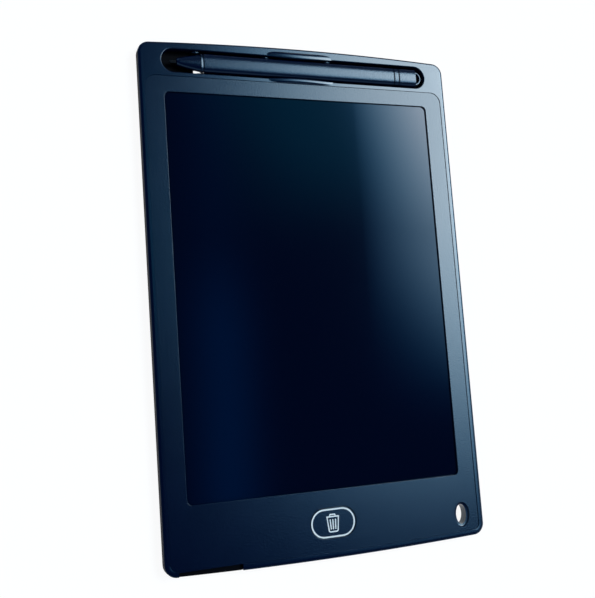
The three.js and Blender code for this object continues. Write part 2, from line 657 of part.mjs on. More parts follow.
// The thin wall that stands up inside the front moulding's skirt, left out beside the trough
function tongue() {
  const inset = SIDE_WALL + TONGUE_CLEARANCE;
  const endY = TROUGH_Y - TROUGH_WIDTH / 2 - TROUGH_WALL - TONGUE_CLEARANCE;
  return cutBy(
    casePrism(inset, REAR_FLOOR - SINK, PARTING_HEIGHT + TONGUE_RISE),
    casePrism(inset + TONGUE_THICKNESS, 0, RIM_Z),
    block(-BODY_WIDTH, BODY_WIDTH, endY, TOP_Y, 0, RIM_Z),
  );
}

function pegSockets() {
  const inner = PEG_RADIUS + PEG_CLEARANCE;
  return pegPlaces().map(([x, y]) => cutBy(
    post(x, y, inner + PEG_SOCKET_WALL, REAR_FLOOR - SINK, CEILING_Z - PARTING_GAP, SMALL_CIRCLE_STEPS),
    post(x, y, inner, REAR_FLOOR, RIM_Z, SMALL_CIRCLE_STEPS),
  ));
}

function standoffPlaces() {
  const inset = 2 * STANDOFF_RADIUS;
  return [
    [BOARD_STEP_X + inset, BOARD_BOTTOM_Y + inset],
    [BOARD_RIGHT - inset, BOARD_BOTTOM_Y + inset],
    [BOARD_LEFT + inset, BOARD_TOP_Y - inset],
    [BOARD_RIGHT - inset, BOARD_TOP_Y - inset],
  ];
}

// The two rails that guide the battery tray
function trayRails() {
  const top = REAR_FLOOR + TRAY_RAIL_HEIGHT;
  return [-1, 1].map((side) => {
    const near = TRAY_CENTRE_X + side * TRAY_BAY_WIDTH / 2;
    const far = near + side * TRAY_RAIL;
    return block(
      Math.min(near, far), Math.max(near, far),
      BOTTOM_Y + NOTCH_DEPTH, TRAY_INNER_Y, REAR_FLOOR - SINK, top,
    );
  });
}

// Raised floor over the lock slider's recess
function lockPad() {
  return obroundPrism(
    LOCK_MIDDLE_X, BUTTON_Y, LOCK_RECESS_LENGTH + 2 * LOCK_PAD_WALL, LOCK_RECESS_WIDTH + 2 * LOCK_PAD_WALL,
    REAR_FLOOR - SINK, LOCK_PAD_TOP,
  );
}

// Rear moulding: floor, side wall, tongue, screen ribs, board posts, tray rails and lock recess
function rearShell() {
  const shell = roundedShell(0, PARTING_HEIGHT, REAR_EDGE_ROUND);
  const cavity = casePrism(SIDE_WALL, REAR_FLOOR, PARTING_HEIGHT + OVERSHOOT);
  const standoffs = standoffPlaces().map(([x, y]) => (
    post(x, y, STANDOFF_RADIUS, REAR_FLOOR - SINK, BOARD_Z - PART_GAP, SMALL_CIRCLE_STEPS)
  ));
  const trayMouth = block(
    TRAY_CENTRE_X - TRAY_BAY_WIDTH / 2, TRAY_CENTRE_X + TRAY_BAY_WIDTH / 2,
    BOTTOM_Y - OVERSHOOT, BOTTOM_Y + NOTCH_DEPTH + OVERSHOOT, REAR_FLOOR + TRAY_SILL, RIM_Z,
  );
  const lockRecess = obroundPrism(
    LOCK_MIDDLE_X, BUTTON_Y, LOCK_RECESS_LENGTH, LOCK_RECESS_WIDTH, -OVERSHOOT, LOCK_RECESS_DEPTH,
  );
  const lockSlot = block(
    LOCK_MIDDLE_X - LOCK_SLOT_LENGTH / 2, LOCK_MIDDLE_X + LOCK_SLOT_LENGTH / 2,
    BUTTON_Y - LOCK_SLOT_WIDTH / 2, BUTTON_Y + LOCK_SLOT_WIDTH / 2, 0, RIM_Z,
  );
  const lanyardHole = lanyardPrism(LANYARD_WIDTH, LANYARD_LENGTH, -OVERSHOOT, RIM_Z);
  const lanyardCollar = lanyardPrism(
    LANYARD_WIDTH + 2 * LANYARD_COLLAR, LANYARD_LENGTH + 2 * LANYARD_COLLAR,
    REAR_FLOOR - SINK, PARTING_HEIGHT - PARTING_GAP,
  );
  const snapWindows = LOWER_RIB_PLACES.map((x) => block(
    x - SNAP_WINDOW_LENGTH / 2, x + SNAP_WINDOW_LENGTH / 2,
    TROUGH_Y - TROUGH_WIDTH / 2, TROUGH_Y - TROUGH_WIDTH / 2 + SNAP_WINDOW_WIDTH,
    -OVERSHOOT, REAR_FLOOR + OVERSHOOT,
  ));
  const filled = joined(
    cutBy(shell, cavity), tongue(), ...supportRibs(), ...pegSockets(), ...standoffs, ...trayRails(),
    lockPad(), lanyardCollar,
  );
  return cutBy(filled, trayMouth, lockRecess, lockSlot, lanyardHole, ...snapWindows);
}

// One flat layer of the screen
function screenLayer(low, thickness, setback) {
  const shape = roundedRectangle(
    0, WINDOW_Y, SCREEN_WIDTH - 2 * setback, SCREEN_LENGTH - 2 * setback, SCREEN_CORNER,
  );
  return prism(shape, low, low + thickness);
}

// Double-sided tape round the window that holds the screen to the front moulding
function screenTape() {
  const opening = roundedRectangle(
    0, WINDOW_Y, WINDOW_WIDTH + 2 * TAPE_SETBACK, WINDOW_LENGTH + 2 * TAPE_SETBACK, WINDOW_CORNER,
  );
  return cutBy(screenLayer(TAPE_Z, TAPE_THICKNESS, 0), prism(opening, 0, RIM_Z));
}

// A strip of constant thickness and width along a line of points in the YZ plane
function bentStrip(centreX, width, thickness, line) {
  const half = thickness / 2;
  const sides = line.map((point, index) => {
    const before = line[Math.max(index - 1, 0)];
    const after = line[Math.min(index + 1, line.length - 1)];
    const inward = point.clone().sub(before).normalize();
    const onward = after.clone().sub(point).normalize();
    const along = inward.add(onward).normalize();
    const normal = new THREE.Vector2(-along.y, along.x);
    const straight = index === 0 || index === line.length - 1;
    const turn = straight ? 1 : along.dot(after.clone().sub(point).normalize());
    return normal.multiplyScalar(half / turn);
  });
  const left = line.map((point, index) => point.clone().add(sides[index]));
  const right = line.map((point, index) => point.clone().sub(sides[index]));
  const shape = new THREE.Shape([...right, ...left.reverse()]);
  const geometry = new THREE.ExtrudeGeometry(shape, { depth: width, bevelEnabled: false });
  geometry.rotateX(Math.PI / 2);
  geometry.rotateZ(Math.PI / 2);
  geometry.translate(centreX - width / 2, 0, 0);
  return solid(geometry);
}

// The printed tail that joins the screen to the board
function screenFlex() {
  const startY = SCREEN_BOTTOM_Y + CELL_SETBACK - PART_GAP;
  const startZ = CELL_Z + CELL_THICKNESS / 2;
  const endZ = BOARD_TOP + PART_GAP + FLEX_THICKNESS / 2;
  const bendStart = startY - (FLEX_RUN - FLEX_BEND) / 2;
  return bentStrip(FLEX_X, FLEX_WIDTH, FLEX_THICKNESS, [
    new THREE.Vector2(startY, startZ),
    new THREE.Vector2(bendStart, startZ),
    new THREE.Vector2(bendStart - FLEX_BEND, endZ),
    new THREE.Vector2(startY - FLEX_RUN, endZ),
  ]);
}

function buttonPoints(margin) {
  return obroundPoints(0, BUTTON_Y, BUTTON_LENGTH + 2 * margin, BUTTON_WIDTH + 2 * margin);
}

function buttonPrism(margin, low, high) {
  return prism(new THREE.Shape(buttonPoints(margin)), low, high);
}

// The cap's outer form, level with the panel, with its top edge rounded off
function buttonCap() {
  const rings = Array.from({ length: ROUND_STEPS + 1 }, (_, step) => {
    const angle = (Math.PI / 2) * (step / ROUND_STEPS);
    const inset = BUTTON_EDGE_ROUND * (1 - Math.cos(angle));
    const drop = BUTTON_EDGE_ROUND * (1 - Math.sin(angle));
    return { points: buttonPoints(-inset), z: PANEL_Z - drop };
  });
  return loft([{ points: buttonPoints(0), z: FLANGE_Z }, ...rings]);
}

// Pill-shaped button cap: hollow below, with a retaining flange and a boss over the switch
function eraseButton() {
  return joined(
    cutBy(
      joined(buttonCap(), buttonPrism(BUTTON_FLANGE, FLANGE_Z, FLANGE_TOP)),
      buttonPrism(-BUTTON_WALL, 0, PANEL_Z - BUTTON_PLATE),
    ),
    post(0, BUTTON_Y, BOSS_RADIUS, FLANGE_Z, PANEL_Z - BUTTON_PLATE + SINK, CIRCLE_STEPS),
  );
}

function switchBody() {
  const half = SWITCH_SIDE / 2;
  return cutBy(
    block(-half, half, BUTTON_Y - half, BUTTON_Y + half, SWITCH_Z, SWITCH_TOP),
    post(0, BUTTON_Y, BOSS_RADIUS + SWITCH_HOLE_CLEARANCE, SWITCH_Z + SWITCH_FLOOR, RIM_Z, CIRCLE_STEPS),
  );
}

function switchPlunger() {
  return post(0, BUTTON_Y, PLUNGER_RADIUS, PLUNGER_Z, FLANGE_Z - PLUNGER_GAP, CIRCLE_STEPS);
}

// L-shaped board: a strip above the battery tray, and a wider part under the button and the lock
function circuitBoard() {
  const lockWindow = block(
    LOCK_MIDDLE_X - LOCK_RECESS_LENGTH / 2 - LOCK_PAD_WALL - LOCK_CLEARANCE,
    LOCK_MIDDLE_X + LOCK_RECESS_LENGTH / 2 + LOCK_PAD_WALL + LOCK_CLEARANCE,
    BUTTON_Y - LOCK_RECESS_WIDTH / 2 - LOCK_PAD_WALL - LOCK_CLEARANCE,
    BUTTON_Y + LOCK_RECESS_WIDTH / 2 + LOCK_PAD_WALL + LOCK_CLEARANCE,
    0, RIM_Z,
  );
  return cutBy(
    joined(
      block(BOARD_STEP_X, BOARD_RIGHT, BOARD_BOTTOM_Y, BOARD_TOP_Y, BOARD_Z, BOARD_TOP),
      block(BOARD_LEFT, BOARD_RIGHT, BOARD_STRIP_Y, BOARD_TOP_Y, BOARD_Z, BOARD_TOP),
    ),
    lockWindow,
  );
}

function boardPart(x, y, width, length, height) {
  const low = BOARD_TOP + PART_GAP;
  return block(x - width / 2, x + width / 2, y - length / 2, y + length / 2, low, low + height);
}

// Pull-out battery tray, with a thumb lip that follows the case's bottom edge
function batteryTray() {
  const left = TRAY_CENTRE_X - TRAY_WIDTH / 2;
  const right = TRAY_CENTRE_X + TRAY_WIDTH / 2;
  const whole = casePrism(0, TRAY_Z, TRAY_TOP).intersect(
    block(left, right, BOTTOM_Y - OVERSHOOT, TRAY_INNER_Y, 0, RIM_Z),
  );
  const pocket = post(
    TRAY_CENTRE_X, COIN_Y, COIN_DIAMETER / 2 + COIN_CLEARANCE, TRAY_Z + TRAY_FLOOR, RIM_Z, 2 * CIRCLE_STEPS,
  );
  const contactX = TRAY_CENTRE_X + CONTACT_SPREAD;
  const contactHalf = CONTACT_WIDTH / 2 + TRAY_CLEARANCE;
  const contactEnd = TRAY_INNER_Y - CONTACT_REACH - 2 * TRAY_CLEARANCE;
  const contactSlot = block(
    contactX - contactHalf, contactX + contactHalf, contactEnd, TRAY_INNER_Y + OVERSHOOT,
    0, TRAY_Z + TRAY_FLOOR + SINK,
  );
  const thumb = post(
    TRAY_CENTRE_X, BOTTOM_Y + TRAY_THUMB_DEPTH - TRAY_THUMB_RADIUS, TRAY_THUMB_RADIUS,
    TRAY_Z + TRAY_FLOOR, RIM_Z, CIRCLE_STEPS,
  );
  return cutBy(whole, pocket, contactSlot, thumb);
}

function coinCell() {
  const radius = COIN_DIAMETER / 2;
  const top = COIN_Z + COIN_THICKNESS;
  const profile = [
    new THREE.Vector2(0, COIN_Z),
    new THREE.Vector2(radius - 2 * COIN_EDGE, COIN_Z),
    new THREE.Vector2(radius - COIN_EDGE, COIN_Z + COIN_EDGE),
    new THREE.Vector2(radius, COIN_Z + COIN_EDGE),
    new THREE.Vector2(radius, top - COIN_EDGE),
    new THREE.Vector2(radius - COIN_EDGE, top),
    new THREE.Vector2(0, top),
  ];
  const geometry = new THREE.LatheGeometry(profile, 2 * CIRCLE_STEPS);
  geometry.rotateX(Math.PI / 2);
  geometry.translate(TRAY_CENTRE_X, COIN_Y, 0);
  return solid(geometry);
}

// A sprung strip from its foot on the board to the coin: over it on one side, under it on the other
function batteryContact(side, armZ) {
  const footZ = BOARD_TOP + PART_GAP + CONTACT_THICKNESS / 2;
  const riserY = RISER_Y + CONTACT_THICKNESS / 2;
  return bentStrip(TRAY_CENTRE_X + side * CONTACT_SPREAD, CONTACT_WIDTH, CONTACT_THICKNESS, [
    new THREE.Vector2(riserY + CONTACT_FOOT, footZ),
    new THREE.Vector2(riserY, footZ),
    new THREE.Vector2(riserY, armZ),
    new THREE.Vector2(riserY - CONTACT_REACH, armZ),
  ]);
}

// Slider seen from the back: ridged knob in the recess, with a forked stem up to the switch
function lockSlider() {
  const knob = obroundPrism(
    LOCK_X, BUTTON_Y, LOCK_KNOB_LENGTH, LOCK_KNOB_WIDTH, LOCK_KNOB_SETBACK, KNOB_TOP,
  );
  const ridgeGaps = Array.from({ length: LOCK_RIDGES }, (_, ridge) => {
    const x = LOCK_X + LOCK_RIDGE_SPACING * (ridge - (LOCK_RIDGES - 1) / 2);
    return block(
      x - LOCK_RIDGE_WIDTH / 2, x + LOCK_RIDGE_WIDTH / 2,
      BUTTON_Y - LOCK_RIDGE_LENGTH / 2, BUTTON_Y + LOCK_RIDGE_LENGTH / 2,
      0, LOCK_KNOB_SETBACK + LOCK_RIDGE_DEPTH,
    );
  });
  const half = LOCK_STEM / 2;
  const stem = block(
    LOCK_X - half, LOCK_X + half, BUTTON_Y - half, BUTTON_Y + half, KNOB_TOP - SINK, STEM_TOP,
  );
  const fork = LEVER_SIDE / 2 + LEVER_CLEARANCE;
  const forkSlot = block(
    LOCK_X - fork, LOCK_X + fork, BUTTON_Y - LOCK_STEM, BUTTON_Y + LOCK_STEM,
    STEM_TOP - LEVER_OVERLAP, RIM_Z,
  );
  return cutBy(joined(cutBy(knob, ...ridgeGaps), stem), forkSlot);
}

function lockLever() {
  const half = LEVER_SIDE / 2;
  return block(
    LOCK_X - half, LOCK_X + half, BUTTON_Y - half, BUTTON_Y + half,
    STEM_TOP - LEVER_OVERLAP + PART_GAP, LEVER_TOP,
  );
}

// Slide switch that bridges the board's window, open below for its lever
function lockSwitch() {
  const length = Math.max(LOCK_SWITCH_LENGTH, LEVER_SIDE + LOCK_TRAVEL + 4 * LEVER_CLEARANCE);
  const halfLength = length / 2;
  const halfWidth = LOCK_SWITCH_WIDTH / 2;
  const leverHalf = LEVER_SIDE / 2;
  const leverWay = block(
    LOCK_X - leverHalf - 2 * LEVER_CLEARANCE, LOCK_X + LOCK_TRAVEL + leverHalf + 2 * LEVER_CLEARANCE,
    BUTTON_Y - leverHalf - LEVER_CLEARANCE, BUTTON_Y + leverHalf + LEVER_CLEARANCE,
    0, LEVER_TOP + LEVER_CLEARANCE,
  );
  return cutBy(
    block(
      LOCK_MIDDLE_X - halfLength, LOCK_MIDDLE_X + halfLength,
      BUTTON_Y - halfWidth, BUTTON_Y + halfWidth, LOCK_SWITCH_Z, LOCK_SWITCH_Z + LOCK_SWITCH_HEIGHT,
    ),
    leverWay,
  );
}

// The stylus section: an oval between an ellipse and a rectangle, centred on the stylus axis
function stylusSection(width, thickness) {
  return Array.from({ length: SECTION_STEPS }, (_, step) => {
    const angle = 2 * Math.PI * (step / SECTION_STEPS);
    const cosine = Math.cos(angle);
    const sine = Math.sin(angle);
    const sum = Math.abs(cosine) ** STYLUS_SQUARENESS + Math.abs(sine) ** STYLUS_SQUARENESS;
    const reach = sum ** (-1 / STYLUS_SQUARENESS);
    return new THREE.Vector2((thickness / 2) * cosine * reach, (width / 2) * sine * reach);
  });
}

// A stylus piece lofted along +X through [distance from the nib's end, width, thickness]
function stylusLoft(stations) {
  const rings = stations.map(([along, width, thickness]) => (
    { points: stylusSection(width, thickness), z: along }
  ));
  const geometry = loftGeometry(rings);
  geometry.rotateY(Math.PI / 2);
  geometry.translate(STYLUS_START_X, TROUGH_Y, STYLUS_Z);
  return solid(geometry);
}

function full(along) {
  return [along, STYLUS_WIDTH, STYLUS_THICKNESS];
}

// The section inside a groove between two pieces
function waist(along) {
  const shrink = 2 * GROOVE_DEPTH;
  return [along, STYLUS_WIDTH - shrink, STYLUS_THICKNESS - shrink];
}

// A bored seat in the nose for the nib's stem
function nibSeat() {
  const depth = NIB_STEM + NIB_CLEARANCE;
  const geometry = new THREE.CylinderGeometry(
    NIB_RADIUS + NIB_CLEARANCE, NIB_RADIUS + NIB_CLEARANCE, depth + OVERSHOOT, SMALL_CIRCLE_STEPS,
  );
  geometry.rotateZ(Math.PI / 2);
  geometry.translate(STYLUS_START_X + NIB_LENGTH + (depth - OVERSHOOT) / 2, TROUGH_Y, STYLUS_Z);
  return solid(geometry);
}

// Nose section at a share of the way from the tip to the barrel, with a slight belly
function noseSection(share, shoulder) {
  const swell = share ** NOSE_SWELL_POWER;
  const step = 2 * NOSE_FLANGE_STEP;
  return [
    THREE.MathUtils.lerp(NIB_LENGTH + NOSE_TIP_ROUND, shoulder, share),
    THREE.MathUtils.lerp(NOSE_TIP_WIDTH, STYLUS_WIDTH - step, swell),
    THREE.MathUtils.lerp(NOSE_TIP_THICKNESS, STYLUS_THICKNESS - step, swell),
  ];
}

// Tapered nose with a stepped flange against the barrel
function stylusNose() {
  const shoulder = NOSE_END - NOSE_FLANGE;
  const taper = Array.from({ length: NOSE_TAPER_STEPS + 1 }, (_, step) => (
    noseSection(step / NOSE_TAPER_STEPS, shoulder)
  ));
  return cutBy(
    stylusLoft([
      [NIB_LENGTH, NOSE_TIP_WIDTH - NOSE_TIP_ROUND, NOSE_TIP_THICKNESS - NOSE_TIP_ROUND],
      ...taper,
      full(shoulder + SINK),
      full(NOSE_END),
    ]),
    nibSeat(),
  );
}

// Nib: a stem in the nose and a round writing tip
function stylusNib() {
  const stem = NIB_LENGTH + NIB_STEM - NIB_CLEARANCE;
  const tip = Array.from({ length: NIB_STEPS + 1 }, (_, step) => {
    const angle = (Math.PI / 2) * (step / NIB_STEPS);
    return new THREE.Vector2(NIB_RADIUS * Math.sin(angle), NIB_RADIUS * (1 - Math.cos(angle)));
  });
  const profile = [...tip, new THREE.Vector2(NIB_RADIUS, stem), new THREE.Vector2(0, stem)];
  const geometry = new THREE.LatheGeometry(profile, SMALL_CIRCLE_STEPS);
  geometry.rotateZ(-Math.PI / 2);
  geometry.translate(STYLUS_START_X, TROUGH_Y, STYLUS_Z);
  return solid(geometry);
}

// Barrel with its two necks, each half of a groove
function stylusBarrel() {
  return stylusLoft([
    waist(BARREL_START - GROOVE_WIDTH + STYLUS_PIECE_GAP),
    waist(BARREL_START),
    full(BARREL_START + SINK),
    full(BARREL_END - SINK),
    waist(BARREL_END),
    waist(BARREL_END + GROOVE_WIDTH - STYLUS_PIECE_GAP),
  ]);
}

function stylusRing() {
  return stylusLoft([
    full(RING_START),
    full(RING_END),
  ]);
}

// End cap: neck, body, and a half-round string loop at its far end
function stylusCap() {
  const body = stylusLoft([
    waist(RING_END + STYLUS_PIECE_GAP),
    waist(CAP_START),
    full(CAP_START + SINK),
    full(CAP_END),
  ]);
  const endX = STYLUS_START_X + CAP_END;
  const low = STYLUS_Z - CAP_LOOP_THICKNESS / 2;
  const loop = cutBy(
    post(endX, TROUGH_Y, CAP_LOOP_RADIUS, low, low + CAP_LOOP_THICKNESS, 2 * CIRCLE_STEPS),
    post(endX, TROUGH_Y, CAP_LOOP_RADIUS - CAP_LOOP_WALL, 0, RIM_Z, 2 * CIRCLE_STEPS),
    block(endX - STYLUS_WIDTH, endX - SINK, TROUGH_Y - STYLUS_WIDTH, TROUGH_Y + STYLUS_WIDTH, 0, RIM_Z),
  );
  return joined(body, loop);
}

place('front_frame', frontFrame(), CASE_PLASTIC);
place('rear_shell', rearShell(), BLACK_PLASTIC);
place('screen_tape', screenTape(), BLACK_PLASTIC);
place('screen_front_film', screenLayer(FILM_Z, FILM_THICKNESS, 0), SCREEN_PLASTIC);
place('screen_cell', screenLayer(CELL_Z, CELL_THICKNESS, CELL_SETBACK), SCREEN_PLASTIC);
place('screen_backing', screenLayer(BACKING_Z, BACKING_THICKNESS, 0), BLACK_PLASTIC);
place('screen_flex', screenFlex(), BRASS);
place('circuit_board', circuitBoard(), BOARD_MATERIAL);
place('driver_chip', boardPart(CHIP_X, BUTTON_Y, CHIP_SIDE, CHIP_SIDE, CHIP_HEIGHT), BLACK_PLASTIC);
for (const [name, side] of [['reservoir_capacitor', -1], ['filter_capacitor', 1]]) {
  const y = BUTTON_Y + side * CAPACITOR_SPACING / 2;
  place(name, boardPart(CAPACITOR_X, y, CAPACITOR_LENGTH, CAPACITOR_WIDTH, CAPACITOR_HEIGHT), CERAMIC);
}
place('erase_button', eraseButton(), CASE_PLASTIC);
place('erase_switch_body', switchBody(), BLACK_PLASTIC);
place('erase_switch_plunger', switchPlunger(), BLACK_PLASTIC);
place('battery_tray', batteryTray(), BLACK_PLASTIC);
place('coin_cell', coinCell(), STEEL);
place('battery_contact_positive', batteryContact(-1, TRAY_TOP + CONTACT_THICKNESS), BRASS);
place('battery_contact_negative', batteryContact(1, TRAY_Z + TRAY_FLOOR - CONTACT_THICKNESS), BRASS);
place('lock_slider', lockSlider(), CASE_PLASTIC);
place('lock_switch_body', lockSwitch(), STEEL);
place('lock_switch_lever', lockLever(), BLACK_PLASTIC);
place('stylus_nib', stylusNib(), BLACK_PLASTIC);
place('stylus_nose', stylusNose(), STYLUS_PLASTIC);
place('stylus_barrel', stylusBarrel(), STYLUS_PLASTIC);
place('stylus_ring', stylusRing(), STYLUS_PLASTIC);
place('stylus_cap', stylusCap(), STYLUS_PLASTIC);

export default group;
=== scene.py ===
"""Looks for an LCD writing tablet: materials, finer outer pieces, prints, camera, floor and light.

The frame is in metres. The tablet lies on its back, with +Y up the page and +Z out of the screen. The shapes
below are written in millimetres and scaled when a mesh is built. They follow the solids, with finer edges and
sections. The stylus lies 0.15 mm lower on the page than its solids, and its cap ends 0.25 mm further right.
"""

import math

import bpy
from mathutils import Matrix, Vector
from mathutils.geometry import tessellate_polygon


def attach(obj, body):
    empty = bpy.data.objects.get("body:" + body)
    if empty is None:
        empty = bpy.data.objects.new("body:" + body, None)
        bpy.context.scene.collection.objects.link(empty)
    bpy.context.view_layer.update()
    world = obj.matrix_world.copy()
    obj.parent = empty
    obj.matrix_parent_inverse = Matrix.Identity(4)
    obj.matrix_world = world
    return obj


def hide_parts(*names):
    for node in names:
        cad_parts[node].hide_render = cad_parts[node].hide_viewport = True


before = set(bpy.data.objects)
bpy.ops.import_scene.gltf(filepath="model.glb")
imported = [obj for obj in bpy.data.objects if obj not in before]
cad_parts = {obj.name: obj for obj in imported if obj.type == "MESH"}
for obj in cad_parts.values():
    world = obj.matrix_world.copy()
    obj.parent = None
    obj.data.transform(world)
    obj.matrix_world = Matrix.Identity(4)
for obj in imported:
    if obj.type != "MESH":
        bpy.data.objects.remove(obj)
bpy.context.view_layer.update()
MM = 0.001
QUARTER = math.pi / 2

# Camera, solved from the photograph's outline
CAMERA_PLACE = (-0.13891, -0.04173, 0.34393)
CAMERA_RIGHT = (0.93433, -0.07120, 0.34909)
CAMERA_UP = (0.02752, 0.99133, 0.12851)
CAMERA_BACK = (-0.35521, -0.11046, 0.92819)
CAMERA_LENS = 51.18
CAMERA_SENSOR = 36
CAMERA_CLIP = (0.01, 50)

# Key and fill. A slope is how far a direction leans to +X or to +Y for each unit of height.
LEAST_HEIGHT = 0.02
KEY_STRENGTH = 9.6
KEY_X = (0.26, 0.56)
KEY_X_CORE = (0.57, 0.75)
KEY_X_END = (0.82, 1.4)
KEY_CORE_GAIN = 0.5
KEY_Y = (-0.25, 0.26)
KEY_Y_END = (0.49, 0.78)
# Beyond the first slope to +X, the key starts further to +Y by the second for each unit
KEY_SLANT = (0.65, 0.55)
KEY_TINT_POWERS = (1.4, 1.0, 0.8)
FILL_COLOUR = (0.0, 0.23, 0.37)
FILL_X = (0.06, 0.22)
FILL_Y = (-0.04, 0.17)
FILL_Y_END = (0.3, 0.5)
AMBIENT_COLOUR = (0.004, 0.018, 0.03)

# Room round about. It fades out with the direction's own z, and has a gap by its own x and y.
ROOM_COLOUR = (0.32, 0.5, 0.68)
ROOM_HEIGHT = (0.62, 0.8)
ROOM_GAP_X = (-0.06, 0.06)
ROOM_GAP_X_END = (0.5, 0.65)
ROOM_GAP_Y = (-0.6, -0.3)
# Share of the room's light that the gap takes away: what is added towards +Y, and what it takes everywhere
ROOM_GAP_DEPTH = (0.4, 0.4)

# Floor, in metres
FLOOR_HALF = 3.0
FLOOR_Z = -0.0002
FLOOR_GREY = 0.82
FLOOR_GLOW = 1.06
FLOOR_GLOW_SHARE = 0.88

# Case
BODY_WIDTH = 145.0
TOP_Y = 111.1
BOTTOM_Y = -111.1
TOP_CROWN = 2.0
BOTTOM_CROWN = 1.4
CORNER = 5.0
RIM_Z = 5.0
PANEL_Z = 4.7
CEILING_Z = 4.0
SKIRT_Z = 2.68
SKIRT_EDGE = 0.12
SIDE_WALL = 1.4
# The rim's crown: its width and height, its width's share along the top, and its steps. The first few of them
# have the look without reflection, which is painted shade.
RIM_ROUND = (1.3, 0.45)
RIM_ROUND_TOP = 0.65
RIM_STEPS = 12
RIM_SHADED_STEPS = 4
RIM_WIDTH = 2.3
PANEL_TOP_Y = 95.0
PANEL_CORNER = 5.0
STEP_ROUND = 0.04
STEP_FILLET = 0.03

# Openings and the button are given by their middle's x and y, width and length
WINDOW = (0.0, 2.6, 124.2, 171.0)
WINDOW_CORNER = 2.2
WINDOW_ROUND = 0.15
# The tray's notch in the bottom edge: its left, right and top
NOTCH = (-66.9, -40.6, -108.1)
NOTCH_PAST = 1.0

# Stylus trough and lips
TROUGH = (0.0, 101.9, 125.3, 10.4)
TROUGH_WALL = 0.9
TROUGH_ROUND = 0.32
TROUGH_LOW_Z = 1.15
LIP_LENGTH = 31.0
LIP_STEPS = 48
LIP_BULGE = 0.65
LIP_RISE = 0.7
LIP_SINK = 0.02
LIP_REACH = {1: 2.2, -1: 1.65}
LIP_DEPTH = 0.9
# A lip's width at its ends, as a share, and how late it narrows towards them
LIP_END_SHARE = 0.2
LIP_END_POWER = 8
# Each lip's section from its outer foot to its inner edge: share of its width, and share of its rise
LIP_SECTIONS = {
    1: (
        (0.98, 0.1), (0.93, 0.3), (0.86, 0.54), (0.79, 0.72), (0.7, 0.86), (0.6, 0.94), (0.48, 0.985),
        (0.35, 1.0), (0.22, 0.985), (0.13, 0.94), (0.06, 0.84), (0.02, 0.7), (0.0, 0.5),
    ),
    -1: (
        (0.985, 0.12), (0.93, 0.33), (0.85, 0.56), (0.77, 0.74), (0.69, 0.87), (0.62, 0.94), (0.54, 0.98),
        (0.44, 1.0), (0.34, 0.985), (0.2, 0.95), (0.11, 0.88), (0.04, 0.74), (0.0, 0.5),
    ),
}
RIB_REACH = 0.85
RIB_HEIGHT = 0.38
RIB_LENGTH = 3.0
RIB_CROWN = 0.3
RIB_Z = 3.1
RIB_TURN = 20
RIB_STEPS = 6
# The wall that each rib stands on, 1 above the stylus and -1 below it, and its middle's x
RIB_PLACES = ((1, -47.4), (1, -15.6), (1, 13.8), (-1, -46.3))

# Button
BUTTON = (0.0, -96.55, 20.5, 12.3)
BUTTON_CLEARANCE = 0.3
BUTTON_ROUND = 0.3
BUTTON_ROUND_STEPS = 6
BUTTON_LOW_Z = 3.25
# The flange's width and top, and the wall and ceiling of the hollow
BUTTON_FLANGE = (0.9, 3.7)
BUTTON_HOLLOW = (0.9, 3.8)
BUTTON_BOSS = 1.2
BUTTON_HOLE_ROUND = 0.12

# Lanyard hole
LANYARD = (61.9, -100.2)
LANYARD_HOLE = (5.0, 8.7)
LANYARD_MOUTH = (8.0, 10.9)
LANYARD_COLLAR = 0.9
LANYARD_LOW_Z = 2.6
# The mouth's profile: share of the way from its edge to the hole, and depth below the panel
LANYARD_DISH = (
    (0, 0), (0.02, 0.03), (0.07, 0.2), (0.13, 0.44), (0.2, 0.56), (0.32, 0.61), (0.8, 0.63), (0.93, 0.64),
    (1, 0.66),
)
# The hole's sleeve: its two faces, by their margin from the hole, and its foot
SLEEVE_INNER = -0.04
SLEEVE_OUTER = 0.01
SLEEVE_LOW_Z = 0.12

# Stylus, by distances from the nib's end at the left to the cap at the right
STYLUS_START = -59.1
STYLUS_Y = 101.75
STYLUS_Z = 3.5
STYLUS_HALF = (4.15, 2.25)
STYLUS_POWER = 3.0
NIB_END = 3.0
NIB_RADIUS = 0.75
# Distance and radius of the nib's foremost ring, and of its shaft's rings
NIB_TIP = (0.02, 0.12)
NIB_SHAFT = ((2.2, 0.78), (3.4, 0.95))
NIB_TURN = 28
NIB_ROUND_STEPS = 8
NIB_ROUND_FIRST = 2
NOSE_END = 14.35
NOSE_POWER = 2.0
NOSE_TIP = (1.6, 1.5)
NOSE_SHOULDER = (3.84, 1.94)
NOSE_SWELL_POWER = 0.8
NOSE_STEPS = 14
NOSE_TIP_LENGTH = 0.55
NOSE_FLANGE_LENGTH = 0.85
# Round edges of the nose: distance from the tip's or the flange's start, and inset
NOSE_TIP_EDGE = ((0, 0.5), (0.06, 0.3), (0.2, 0.12))
NOSE_FLANGE = ((0.01, 0.25), (0.04, 0.1), (0.1, 0.0), (0.45, 0.02), (0.77, 0.07), (0.85, 0.3))
# A groove's floor starts a shift beyond its piece's face, and stops a gap short of the next piece
GROOVE = 0.55
GROOVE_DEPTH = 0.5
GROOVE_GAP = 0.05
GROOVE_SHIFT = 0.001
BARREL = (14.9, 105.5)
RING = (106.05, 108.0)
CAP = (108.55, 117.05)
LOOP_RADIUS = 3.3
LOOP_WALL = 0.8
LOOP_THICKNESS = 1.5
LOOP_ROUND = 0.25
LOOP_SINK = 0.3
LOOP_STEPS = 32
PIECE_ROUND = 0.12

# Prints on the button
PRINT_Z = (4.695, 4.712)
PRINT_PLACE = (-0.2, -96.7)
OUTLINE_WIDTH = 0.65
OUTLINE_SIZE = (20.0, 11.9)

